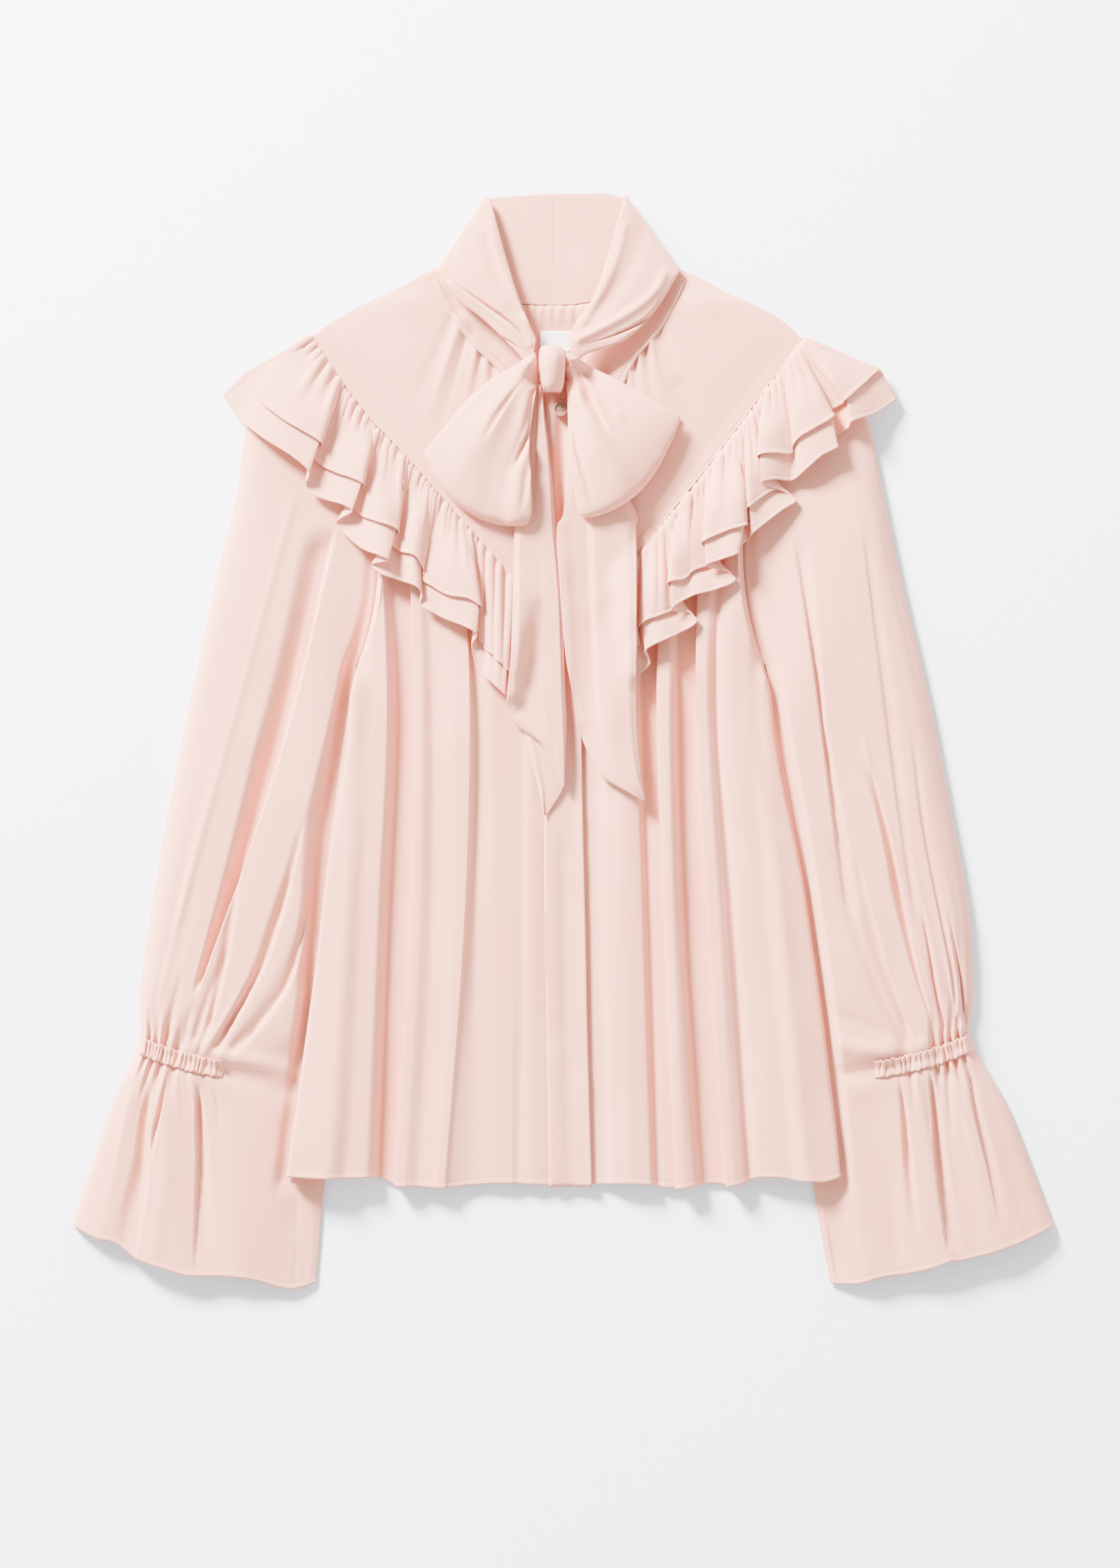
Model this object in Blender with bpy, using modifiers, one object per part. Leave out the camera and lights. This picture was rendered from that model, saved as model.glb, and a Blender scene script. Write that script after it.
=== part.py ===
"""Tie neck blouse in blush crepe, laid flat on its back: each piece of its cut is a thin solid.

World frame: +X to the right and +Y up the garment as the viewer looks down on it, +Z up from the surface.
Left and right are the viewer's. Tables are in millimetres, with their columns named above them.
"""

import math

import bmesh
import bpy
from mathutils import Vector
from mathutils.bvhtree import BVHTree

MM = 0.001

# The sizes that the rest follows.
MIDDLE = (0.75, 1.2)  # the middle of the whole outline in these tables, brought to the origin at the end
WALL = 1.1  # the wall that stands for the cloth
GAP = 0.4  # between pieces that lie on each other or meet at a seam
BACK_SEAM_Y = 178.0  # the seam under the back yoke
SLEEVE_FLAT = 3.2  # height of a sleeve where the body lies on it
RAMP = 14.0  # the width over which the body comes down beside a sleeve
HEM_LIFT_Y = -240.0  # below this the body lies a little higher, on the swelling cuffs
ARMHOLE_CLEAR = 2.6  # from the armhole to the panels beside it
BUTTON_RADIUS = 5.1
BUTTON_THICK = 2.6
BUTTON_RIM = 1.3
BUTTON_HOLLOW = 0.8  # depth of the face inside the rim
BUTTON_HOLE = 0.6  # radius of its four holes
HOLE_FROM_MIDDLE = 1.1  # each way
CASING_WALL = 0.9
CASING_WAVES = 12  # shirring along the band over the elastic
CASING_HALF_WIDTH = 0.012  # as a share of the sleeve's length
RUFFLE_LIFT = 1.65  # from the longer tier's surface to the shorter tier's
BUTTON_CENTRE = (-1.0, 228.5)

FINISHES = {
    "blush_crepe": {"colour": (0.86, 0.68, 0.62), "roughness": 0.85},
    "button_plastic": {"colour": (0.80, 0.62, 0.56), "roughness": 0.4},
    "label_satin": {"colour": (0.93, 0.92, 0.90), "roughness": 0.5},
}

# The V seams, from the shoulder down to the placket: x, y
V_SEAM = {
    "left": [
        (-172.5, 278.5), (-159.0, 258.0), (-135.5, 225.0), (-107.0, 194.5),
        (-76.0, 159.5), (-34.5, 112.0), (-11.0, 84.0),
    ],
    "right": [
        (166.0, 276.5), (145.0, 247.5), (121.0, 214.5), (92.5, 177.5),
        (66.5, 145.5), (31.0, 100.5), (15.5, 82.5), (-1.5, 67.5),
    ],
}
# Side seams, from the underarm to the hem: y, x
SIDE_SEAM = {
    "left": [
        (51.5, -144.0), (16.0, -149.5), (-60.0, -160.0),
        (-155.0, -171.0), (-250.0, -184.0), (-300.0, -191.0),
    ],
    "right": [
        (54.0, 141.5), (16.0, 147.5), (-60.0, 161.5),
        (-150.0, 175.0), (-235.5, 186.5), (-300.0, 193.0),
    ],
}
# Sections of each sleeve from armhole to cuff hem: inner x, y, middle x, y, outer x, y
SLEEVE = {
    "left": [
        (-144.0, 50.5, -131.0, 158.5, -174.5, 279.5),
        (-144.5, 35.0, -151.0, 144.5, -199.5, 257.5),
        (-145.5, 16.0, -169.5, 116.0, -217.0, 220.5),
        (-147.0, -7.5, -183.0, 78.0, -225.0, 168.0),
        (-148.5, -41.0, -193.5, 25.5, -239.0, 111.0),
        (-150.5, -79.0, -203.0, -26.5, -255.0, 35.0),
        (-152.5, -121.5, -214.0, -88.5, -270.5, -41.0),
        (-154.5, -164.5, -223.0, -147.5, -283.5, -117.0),
        (-156.5, -202.5, -230.5, -193.0, -291.5, -174.0),
        (-158.0, -231.0, -236.0, -225.0, -292.0, -208.0),
        (-161.0, -273.5, -242.0, -273.5, -310.0, -250.0),
        (-165.5, -321.0, -249.5, -326.0, -323.5, -290.0),
        (-170.0, -375.0, -256.5, -366.5, -338.0, -333.5),
    ],
    "right": [
        (142.0, 51.5, 128.5, 158.5, 167.5, 277.5),
        (143.0, 35.0, 148.5, 144.5, 195.0, 257.5),
        (144.5, 16.0, 166.0, 116.0, 211.5, 220.5),
        (146.0, -7.5, 179.0, 78.0, 222.0, 168.0),
        (148.0, -41.0, 189.5, 25.5, 234.0, 111.0),
        (151.5, -79.0, 200.0, -26.5, 252.0, 35.0),
        (155.0, -121.5, 212.5, -88.5, 267.0, -41.0),
        (158.5, -164.5, 225.5, -147.5, 281.0, -117.0),
        (163.0, -202.5, 231.5, -190.5, 283.5, -174.0),
        (166.0, -231.0, 234.0, -222.5, 282.5, -206.0),
        (169.5, -273.5, 242.0, -271.0, 306.5, -250.0),
        (175.5, -321.0, 252.0, -322.0, 323.0, -290.0),
        (185.0, -374.5, 260.0, -366.0, 339.5, -331.5),
    ],
}
ELASTIC_ROW = 9  # the sleeve section that the elastic draws in
# Folds round a sleeve's upper layer, from its inner edge: place across the section at the
# armhole, at the elastic and at the cuff hem, then rise at each of the same three
SLEEVE_FOLD = {
    "left": [
        (0.03, 0.03, 0.03, 0.0, 0.0, 0.0),
        (0.10, 0.10, 0.11, 0.3, 0.5, 2.0),
        (0.18, 0.19, 0.21, 3.5, 5.0, 5.5),
        (0.26, 0.27, 0.30, 7.0, 9.0, 4.0),
        (0.34, 0.37, 0.37, 8.5, 11.0, 7.0),
        (0.41, 0.46, 0.44, 9.5, 11.0, 8.0),
        (0.47, 0.53, 0.50, 3.5, 6.0, 3.0),
        (0.56, 0.58, 0.56, 3.0, 4.5, 5.0),
        (0.65, 0.63, 0.62, 6.5, 6.5, 9.0),
        (0.74, 0.69, 0.67, 9.0, 3.0, 6.0),
        (0.80, 0.74, 0.72, 7.0, 5.5, 2.5),
        (0.85, 0.79, 0.77, 6.5, 3.0, 7.0),
        (0.89, 0.84, 0.82, 7.5, 5.5, 8.5),
        (0.93, 0.89, 0.87, 6.0, 3.0, 3.0),
        (0.96, 0.93, 0.92, 4.5, 4.5, 6.5),
        (0.985, 0.97, 0.97, 2.0, 2.0, 3.5),
    ],
    "right": [
        (0.03, 0.03, 0.03, 0.0, 0.0, 0.0),
        (0.11, 0.10, 0.11, 0.3, 0.5, 2.0),
        (0.19, 0.19, 0.21, 2.0, 5.0, 6.0),
        (0.26, 0.28, 0.30, 7.5, 9.5, 6.5),
        (0.34, 0.37, 0.38, 8.5, 11.0, 3.0),
        (0.42, 0.44, 0.45, 7.0, 10.0, 6.0),
        (0.50, 0.50, 0.51, 6.0, 5.5, 9.0),
        (0.57, 0.56, 0.57, 9.0, 6.5, 7.0),
        (0.64, 0.62, 0.62, 3.5, 3.5, 2.5),
        (0.72, 0.68, 0.67, 4.0, 6.0, 8.0),
        (0.79, 0.73, 0.72, 8.0, 3.0, 9.0),
        (0.85, 0.78, 0.77, 7.0, 5.5, 4.0),
        (0.89, 0.83, 0.82, 6.5, 3.0, 2.5),
        (0.93, 0.88, 0.87, 6.0, 5.5, 7.0),
        (0.96, 0.93, 0.92, 4.5, 3.0, 6.0),
        (0.985, 0.97, 0.97, 2.0, 2.0, 3.0),
    ],
}
# Folds across a front panel: x at the V seam, at chest, at waist and at the hem, y of the hem, rise
FRONT_FOLD = {
    "left": [
        (-172.5, -146.5, -167.5, -190.5, -299.0, 1.5),
        (-164.0, -140.5, -160.0, -182.0, -300.0, 6.5),
        (-149.5, -132.5, -146.0, -160.0, -301.0, 9.0),
        (-135.5, -123.0, -130.5, -136.5, -301.0, 7.5),
        (-123.5, -115.5, -120.0, -125.0, -300.5, 1.0),
        (-112.5, -108.0, -110.0, -117.5, -303.5, 0.8),
        (-106.0, -100.5, -104.0, -113.0, -306.5, 8.5),
        (-96.5, -91.5, -94.5, -103.0, -307.0, 8.0),
        (-87.0, -83.0, -84.0, -90.5, -307.0, 3.5),
        (-76.0, -73.0, -70.0, -80.5, -308.0, 7.0),
        (-66.5, -64.0, -61.5, -65.5, -307.0, 5.0),
        (-54.5, -54.0, -52.5, -52.5, -305.5, 1.2),
        (-33.0, -34.5, -34.5, -33.5, -305.0, 3.0),
        (-11.0, -8.5, -7.5, -5.5, -306.5, 2.0),
    ],
    "right": [
        (166.0, 144.5, 170.5, 192.5, -300.0, 1.5),
        (157.0, 138.0, 163.0, 184.0, -302.5, 7.0),
        (144.0, 130.5, 148.5, 166.5, -304.0, 9.0),
        (129.5, 120.5, 132.5, 147.5, -301.0, 7.0),
        (120.0, 113.5, 121.0, 135.5, -302.0, 1.2),
        (111.5, 105.0, 112.5, 127.0, -306.0, 7.0),
        (101.0, 93.5, 101.0, 113.5, -307.0, 8.5),
        (92.5, 88.5, 96.5, 109.0, -306.0, 1.0),
        (85.5, 82.5, 90.0, 95.5, -307.0, 1.0),
        (76.0, 77.5, 82.0, 85.0, -308.0, 7.0),
        (66.5, 66.5, 70.5, 68.0, -308.0, 8.5),
        (59.5, 60.5, 60.5, 62.0, -307.0, 1.5),
        (47.5, 44.0, 43.0, 46.0, -305.0, 6.0),
        (31.0, 25.0, 25.0, 30.0, -305.5, 2.5),
        (-0.5, -5.5, -5.5, -3.5, -306.0, 0.6),
    ],
}
CHEST_Y = 35.0
WAIST_Y = -121.5
# Flutes of each ruffle, from the shoulder to the placket: x on the V seam, hem x, y of the
# longer tier, share of it that the shorter tier covers, height of the flute that starts there
FLUTE = {
    "left": [
        (-171.0, -234.0, 236.0, 0.75, 8.0),
        (-151.0, -175.5, 176.5, 0.72, 9.0),
        (-130.5, -146.0, 154.0, 0.80, 9.0),
        (-108.0, -121.0, 122.5, 0.80, 8.5),
        (-88.0, -94.5, 96.0, 0.82, 8.5),
        (-64.0, -59.5, 70.5, 0.86, 8.0),
        (-38.0, -47.5, 47.0, 0.86, 6.0),
        (-12.0, -38.0, 30.5, 0.86, 4.0),
    ],
    "right": [
        (165.0, 230.5, 234.5, 0.72, 8.0),
        (153.5, 186.5, 204.0, 0.78, 9.0),
        (139.0, 147.0, 176.0, 0.80, 9.0),
        (127.0, 132.5, 142.0, 0.84, 9.0),
        (107.0, 98.5, 118.0, 0.86, 8.5),
        (88.0, 74.5, 88.5, 0.86, 8.5),
        (64.0, 57.0, 61.0, 0.86, 6.0),
        (16.5, 52.0, 43.0, 0.84, 4.0),
    ],
}
FLUTE_LEAN = 0.85  # how far a flute's crest leans to the right, as a share of its height
FLUTE_STEPS = 8
GATHER_RISE = 0.7  # small gathers in the V seam, one for every two columns
# Upper edge of the back yoke, from the left shoulder to the right: x, y
BACK_YOKE_TOP = [
    (-173.5, 279.0), (-149.5, 294.0), (-111.5, 312.5), (-84.0, 327.0),
    (-64.0, 314.5), (-33.0, 302.0), (-7.0, 300.5),
    (19.0, 302.0), (52.0, 314.5), (76.0, 326.0), (126.0, 302.0), (166.5, 277.5),
]
# Yokes, from the V seam's end at the placket up to the neck: y, outer x, inner x
FRONT_YOKE = {
    "left": [
        (88.5, -14.0, -11.5), (112.0, -33.5, -12.0), (159.5, -75.0, -12.5), (194.5, -106.0, -13.0),
        (225.0, -134.5, -13.5), (248.0, -151.5, -33.0), (263.0, -162.0, -50.0), (278.5, -170.5, -64.0),
        (294.0, -149.5, -75.5), (310.5, -116.5, -86.0), (321.0, -96.0, -90.5),
    ],
    "right": [
        (86.5, 19.0, 16.0), (112.0, 39.5, 15.0), (145.5, 65.5, 14.5), (177.5, 91.5, 14.0),
        (214.5, 120.0, 14.0), (247.5, 144.0, 38.0), (263.0, 155.5, 50.0), (276.5, 164.5, 61.5),
        (294.0, 145.0, 73.5), (308.5, 113.5, 81.0), (319.0, 92.5, 86.0),
    ],
}
YOKE_CROWN = 4.0
NECK_GATHERS = 8
# Neckbands between the yokes' neck seams and the collar: seam x, y, inner x, y
NECKBAND = {
    "left": [
        (-89.5, 318.0, -78.5, 322.5), (-83.0, 304.0, -70.0, 308.5), (-72.5, 288.0, -58.5, 295.5),
        (-59.5, 271.5, -44.0, 283.0), (-45.0, 258.0, -28.5, 270.5), (-35.5, 250.0, -19.0, 259.5),
    ],
    "right": [
        (85.0, 318.0, 71.5, 322.5), (77.5, 302.0, 63.0, 308.5), (68.0, 285.0, 52.0, 295.5),
        (58.5, 273.5, 40.5, 283.0), (49.0, 262.0, 25.0, 272.5), (39.5, 249.5, 14.0, 262.0),
    ],
}
# Sections of the collar from the left knot round the back to the right: upper x, y, lower x, y, height
COLLAR = [
    (-18.0, 275.5, -21.5, 253.5, 13.0), (-23.0, 287.0, -28.5, 264.0, 13.5),
    (-30.0, 304.0, -40.5, 276.5, 13.0),
    (-37.5, 328.0, -54.5, 290.0, 11.5), (-44.0, 351.5, -70.0, 302.0, 10.5),
    (-49.0, 370.5, -81.0, 316.5, 8.5),
    (-53.0, 375.0, -85.0, 324.5, 5.5), (-49.5, 374.0, -73.5, 318.0, 2.6), (-38.0, 375.5, -52.0, 308.5, 2.2),
    (-21.5, 376.5, -27.5, 303.0, 2.2), (-4.5, 377.5, -6.0, 302.0, 2.2), (14.0, 377.5, 15.5, 303.0, 2.2),
    (30.0, 377.5, 43.0, 309.0, 2.2), (40.5, 375.0, 68.0, 318.0, 2.6), (43.5, 376.0, 80.5, 324.5, 5.5),
    (42.0, 371.5, 77.5, 317.5, 8.5), (36.5, 351.5, 66.5, 306.0, 10.5), (30.0, 328.0, 52.5, 290.0, 11.5),
    (21.5, 304.0, 34.5, 274.5, 13.0), (9.5, 287.0, 15.5, 265.0, 13.5), (4.5, 274.5, 6.5, 254.5, 13.0),
]
# The placket, from the V down to the hem: y, left x, right x
PLACKET = [
    (244.0, -12.5, 11.0), (177.5, -12.0, 12.5), (82.5, -12.0, 13.5), (-12.5, -12.5, 13.5),
    (-126.5, -12.0, 16.0), (-202.5, -10.5, 17.5), (-307.5, -9.0, 20.5),
]
# Tails: y, left x, right x, rise of the fold near the left edge, in the middle and near the right
TAIL = {
    "left": [
        (236.0, -22.5, -12.0, 1.0, 1.5, 1.0), (206.0, -26.0, -8.5, 2.0, 3.0, 1.0),
        (149.0, -32.0, -4.5, 3.5, 2.0, 3.0), (106.5, -33.0, -0.5, 4.0, 1.0, 3.5),
        (59.0, -35.0, 1.5, 4.0, 1.0, 3.5), (21.0, -37.0, 2.0, 3.5, 1.0, 3.0),
        (5.5, -26.5, 2.0, 3.0, 1.5, 3.0), (-24.5, -18.5, 1.5, 2.5, 1.5, 2.5),
        (-36.0, -15.0, -3.5, 1.5, 1.5, 1.5), (-50.5, -12.5, -9.0, 1.0, 1.0, 1.0),
    ],
    "right": [
        (236.0, 6.5, 16.0, 1.0, 1.5, 1.0), (206.0, 5.5, 24.0, 1.0, 3.0, 1.5),
        (149.0, 2.5, 51.0, 1.5, 4.0, 3.0), (106.5, 3.5, 51.5, 1.0, 4.5, 3.0),
        (59.0, 5.0, 51.5, 1.0, 4.5, 2.5), (18.5, 9.5, 51.5, 1.0, 4.0, 2.5),
        (-8.5, 18.5, 52.5, 1.0, 3.5, 2.0), (-25.5, 28.0, 54.5, 1.0, 2.5, 1.5),
        (-40.0, 51.0, 57.0, 1.0, 1.5, 1.0),
    ],
}
# Bow loops, from the knot to the rounded end: outer x, y, inner x, y, height of the upper layer
LOOP = {
    "left": [
        (-19.5, 266.0, -18.5, 250.0, 6.0), (-34.5, 255.0, -21.5, 237.0, 13.0),
        (-54.5, 238.5, -22.5, 216.5, 15.5),
        (-76.0, 218.0, -22.5, 193.0, 15.5), (-91.5, 199.0, -20.5, 168.0, 12.0),
        (-83.0, 178.5, -24.0, 150.5, 6.5),
    ],
    "right": [
        (3.5, 263.0, 2.5, 251.0, 6.0), (21.5, 255.5, 2.5, 235.5, 13.0), (43.0, 245.0, 2.5, 215.5, 15.5),
        (64.0, 233.5, 4.5, 193.0, 15.5), (79.5, 219.5, 8.0, 169.0, 12.0), (71.5, 191.0, 15.5, 153.0, 6.5),
    ],
}
TAIL_REACH = 8.0  # a tail lies over the highest point this near to it
LOOP_BULGE = 5.0  # how far a loop's rounded end swells past its corners
KNOT_CENTRE = (-7.0, 254.0)
KNOT_SIZE = (18.0, 30.5, 27.0)
KNOT_BOTTOM = 0.3  # the share of the knot's height below its middle, where it is cut flat
LABEL = (-15.0, 268.5, 6.5, 282.5)


def read(rows, at):
    """The columns after the first of a table, at any value of its first column, along smooth curves."""
    ordered = sorted(rows, key=lambda row: row[0])
    at = min(max(at, ordered[0][0]), ordered[-1][0])
    i = max(1, next(k for k, row in enumerate(ordered) if row[0] >= at))
    a, b = ordered[i - 1], ordered[i]
    before, after = ordered[max(0, i - 2)], ordered[min(len(ordered) - 1, i + 1)]
    span = b[0] - a[0]
    t = (at - a[0]) / span
    values = []
    for k in range(1, len(a)):
        slope_a = (b[k] - before[k]) / (b[0] - before[0]) * span
        slope_b = (after[k] - a[k]) / (after[0] - a[0]) * span
        values.append(
            a[k] * (2 * t**3 - 3 * t**2 + 1)
            + slope_a * (t**3 - 2 * t**2 + t)
            + b[k] * (3 * t**2 - 2 * t**3)
            + slope_b * (t**3 - t**2)
        )
    return values


def along(rows, share):
    """The columns of a table at a share of the way down its rows."""
    return read([(i, *row) for i, row in enumerate(rows)], share * (len(rows) - 1))


def ease(t):
    t = min(max(t, 0.0), 1.0)
    return t * t * (3 - 2 * t)


def mix(a, b, t):
    return a + (b - a) * t


def through(start, middle, end, t):
    """The point at t on the curve through three points."""
    near, mid, far = (1 - t) * (1 - 2 * t), 4 * t * (1 - t), t * (2 * t - 1)
    return tuple(near * s + mid * m + far * e for s, m, e in zip(start, middle, end))


def sleeve_point(side, down, across):
    """A place on a sleeve: down from 0 at the armhole to 1 at the hem, across from its inner edge."""
    row = along(SLEEVE[side], down)
    return through(row[0:2], row[2:4], row[4:6], across)


def body_edge(side, y):
    """x of the body's edge: the side seam, and above the underarm the armhole."""
    underarm_y = SLEEVE[side][0][1]
    if y <= underarm_y:
        return read(SIDE_SEAM[side], y)[0]
    low, high = 0.0, 1.0
    for _ in range(30):
        middle = (low + high) / 2
        if sleeve_point(side, 0.0, middle)[1] < y:
            low = middle
        else:
            high = middle
    return sleeve_point(side, 0.0, low)[0]


def inner_edge(side, y):
    """x of a sleeve's inner edge, under the body."""
    return read([(row[1], row[0]) for row in SLEEVE[side]], y)[0]


def outward(side):
    return -1.0 if side == "left" else 1.0


def beside_armhole(side, y):
    """How far inside the body's edge a panel ends: a seam's gap, and more beside the armhole's curve."""
    return mix(1.2, ARMHOLE_CLEAR, ease((y - SLEEVE[side][0][1] + 20) / 20.0))


finishes = {}
settled = {}


def finish(name):
    if name not in finishes:
        spec = FINISHES[name]
        material = bpy.data.materials.new(name)
        material.use_nodes = True
        shader = material.node_tree.nodes["Principled BSDF"]
        shader.inputs["Base Color"].default_value = (*spec["colour"], 1)
        shader.inputs["Roughness"].default_value = spec["roughness"]
        material.diffuse_color = (*spec["colour"], 1)
        finishes[name] = material
    return finishes[name]


def add(name, bm, material):
    mesh = bpy.data.meshes.new(name)
    bm.to_mesh(mesh)
    bm.free()
    mesh.shade_smooth()
    mesh.materials.append(finish(material))
    piece = bpy.data.objects.new(name, mesh)
    collection.objects.link(piece)
    return piece


def cloth(name, columns, rows, place, closed=False, turn=False, material="blush_crepe", wall=WALL):
    """A wall of cloth on place(u, v), or a tube of it where u comes round to its start.

    A flat piece grows up from its points, and a tube grows inwards; turn swaps that.
    """
    bm = bmesh.new()
    bmesh.ops.create_grid(bm, x_segments=columns, y_segments=rows, size=0.5)
    for vert in bm.verts:
        vert.co = Vector(place(vert.co.x + 0.5, vert.co.y + 0.5)) * MM
    if closed:
        bmesh.ops.remove_doubles(bm, verts=bm.verts, dist=0.00001)
    bm.normal_update()
    middle = sum((v.co for v in bm.verts), Vector()) / len(bm.verts)
    if closed:
        facing = sum(f.calc_area() * f.normal.dot(f.calc_center_median() - middle) for f in bm.faces)
    else:
        facing = sum(f.calc_area() * f.normal.z for f in bm.faces)
    if facing < 0:
        bmesh.ops.reverse_faces(bm, faces=bm.faces)
    piece = add(name, bm, material)
    wall_modifier = piece.modifiers.new("wall", "SOLIDIFY")
    wall_modifier.thickness = wall * MM
    wall_modifier.offset = -1.0 if closed != turn else 1.0
    wall_modifier.use_even_offset = False
    settled[name] = None
    return piece


def tree(name):
    """The surface of a finished piece, for what is laid on it."""
    if settled.get(name) is None:
        evaluated = bpy.data.objects[name].evaluated_get(bpy.context.evaluated_depsgraph_get())
        mesh = evaluated.to_mesh()
        points = [v.co.copy() for v in mesh.vertices]
        faces = [tuple(p.vertices) for p in mesh.polygons]
        settled[name] = BVHTree.FromPolygons(points, faces)
        evaluated.to_mesh_clear()
    return settled[name]


def bed(x, y, reach, under=None, floor=0.0):
    """The height to lie at, in mm: over the highest point within reach of the pieces made so far."""
    top = floor
    for i in range(17):
        angle = i * math.pi / 4
        far = 0.0 if i == 16 else reach * (0.5 if i < 8 else 1.0)
        start = Vector(((x + far * math.cos(angle)) * MM, (y + far * math.sin(angle)) * MM, 0.2))
        for name in under or settled:
            hit = tree(name).ray_cast(start, Vector((0, 0, -1)))[0]
            if hit is not None:
                top = max(top, hit.z / MM + GAP)
    return top


def make_sleeve(side):
    """One flattened tube from armhole to cuff hem, drawn in at the elastic."""
    folds = SLEEVE_FOLD[side]
    count = len(folds)
    under = [0.97, 0.86, 0.72, 0.56, 0.4, 0.2, 0.03]
    ring = [(k, None) for k in range(count)] + [(None, 1.0)] + [(None, u) for u in under] + [(None, 0.0)]
    elastic = ELASTIC_ROW / (len(SLEEVE[side]) - 1)

    def place(around, down):
        k, across = ring[round(around * len(ring)) % len(ring)]
        if k is None:
            x, y = sleeve_point(side, down, across)
            z = SLEEVE_FLAT / 2 if across in (0.0, 1.0) else 0.0
            return x, y, z
        at = [
            (0.0, folds[k][0], folds[k][3]),
            (elastic, folds[k][1], folds[k][4]),
            (1.0, folds[k][2], folds[k][5]),
        ]
        if down <= elastic:
            across, rise = (mix(a, b, down / elastic) for a, b in zip(at[0][1:], at[1][1:]))
            rise *= mix(0.12, 1.0, ease((down - 0.1) / 0.35))
            rise *= mix(1.0, 0.75, ease((down - elastic + 0.06) / 0.06))
        else:
            share = (down - elastic) / (1 - elastic)
            across, rise = (mix(a, b, share) for a, b in zip(at[1][1:], at[2][1:]))
            rise *= mix(0.75, 1.0, ease(share * 3))
        x, y = sleeve_point(side, down, across)
        clear = (x - body_edge(side, y)) * outward(side)
        if y < SIDE_SEAM[side][-1][0]:
            clear = max(clear, (SIDE_SEAM[side][-1][0] - y) * 0.7)
        rise *= ease((clear - 6.0) / 14.0)
        return x, y, SLEEVE_FLAT + rise

    return cloth("sleeve_" + side, len(ring), 14, place, closed=True)


def body_height(x, y):
    """How high the body's back lies: flat, but up on the sleeves beside it."""
    height = 0.0
    for side in ("left", "right"):
        below_underarm = SLEEVE[side][0][1] - y
        if below_underarm <= 0:
            continue
        inside = (inner_edge(side, y) - x) * outward(side)
        rise = ease(below_underarm / 12.0) * ease(1 - (inside - 2.0) / RAMP)
        near_hem = 1.2 * ease((HEM_LIFT_Y - y) / 40.0)
        height = max(height, (SLEEVE_FLAT + GAP + 0.5 + near_hem) * rise)
    return height


def make_back():
    hem_y = -301.0
    columns = [0.0, 0.03, 0.06, 0.1, 0.16, 0.3, 0.5, 0.7, 0.84, 0.9, 0.94, 0.97, 1.0]

    def panel(u, v):
        y = mix(hem_y, BACK_SEAM_Y - GAP, v)
        share = columns[round(u * (len(columns) - 1))]
        left, right = (
            body_edge(side, y) - outward(side) * beside_armhole(side, y) for side in ("left", "right"))
        x = mix(left, right, share)
        return x, y, body_height(x, y)

    def yoke(u, v):
        left = SLEEVE["left"][0][4] + 4
        right = SLEEVE["right"][0][4] - 4
        x = mix(left, right, u)
        bottom = BACK_SEAM_Y
        for side in ("left", "right"):
            edge = body_edge(side, BACK_SEAM_Y) - outward(side) * ARMHOLE_CLEAR
            if (x - edge) * outward(side) > 0:
                share = (x - edge) / (body_edge(side, SLEEVE[side][0][5]) - edge)
                y = mix(BACK_SEAM_Y, SLEEVE[side][0][5], min(1.0, share))
                for _ in range(12):
                    if (x - body_edge(side, y)) * outward(side) > -ARMHOLE_CLEAR:
                        y += 6
                bottom = y
        top = read(BACK_YOKE_TOP, x)[0]
        y = mix(min(bottom, top - 1.5), top, v)
        return x, y, 0.0

    cloth("back_panel", len(columns) - 1, 9, panel)
    cloth("back_yoke", 20, 3, yoke)


def make_front(side):
    """A front panel from the V seam to the hem, its folds opening downwards."""
    folds = FRONT_FOLD[side]
    last = len(folds) - 1
    seam = V_SEAM[side]

    def place(u, v):
        k = round(u * last)
        seam_x, chest_x, waist_x, hem_x, hem_y, rise = folds[k]
        seam_y = read(seam, seam_x)[0]
        y = mix(seam_y - 1.0, hem_y, v)
        course = [(seam_y, seam_x), (CHEST_Y, chest_x), (WAIST_Y, waist_x), (hem_y, hem_x)]
        x = read(course, y)[0]
        edge = body_edge(side, y) - outward(side) * beside_armhole(side, y)
        beside = 2.2 * k if y > SLEEVE[side][0][1] else 1.5 * k
        if k == 0:
            x = edge
        elif k < 6:
            x = -outward(side) * max(-outward(side) * x, -outward(side) * edge + beside)
        full = mix(0.12, 1.0, ease((seam_y - 25 - y) / 300.0))
        if seam_y < CHEST_Y + 60:
            full = mix(0.12, 1.0, ease((seam_y - 10 - y) / 200.0))
        base = body_height(x, y) + WALL + GAP
        return x, y, base + rise * full

    return cloth("front_panel_" + side, last, 11, place)


def clear():
    for piece in list(bpy.data.objects):
        bpy.data.objects.remove(piece)


def make_yoke(side):
    """The smooth front yoke between the V seam, the shoulder and the neck, gathered at the neck."""
    table = FRONT_YOKE[side]

    def place(u, v):
        y, outer, inner = along(table, v)
        x = mix(outer, inner, u)
        crown = YOKE_CROWN * math.sin(math.pi * min(1.0, u * 0.8 + 0.1)) ** 0.7
        width = abs(outer - inner)
        crown *= ease(width / 60.0)
        neck = ease((v - 0.35) / 0.3) * ease((u - 0.35) / 0.6)
        waves = 0.8 * neck * math.sin(u * 9 + v * NECK_GATHERS * 2 * math.pi)
        return x, y, bed(x, y, 5.0, floor=2.0) + crown + waves

    return cloth("front_yoke_" + side, 10, 13, place)


def make_placket():
    def place(u, v):
        y, left, right = along(PLACKET, v)
        x = mix(left, right, u)
        return x, y, bed(x, y, 9.0) + 0.2 * math.sin(math.pi * u)

    return cloth("placket", 4, 16, place)


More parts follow.
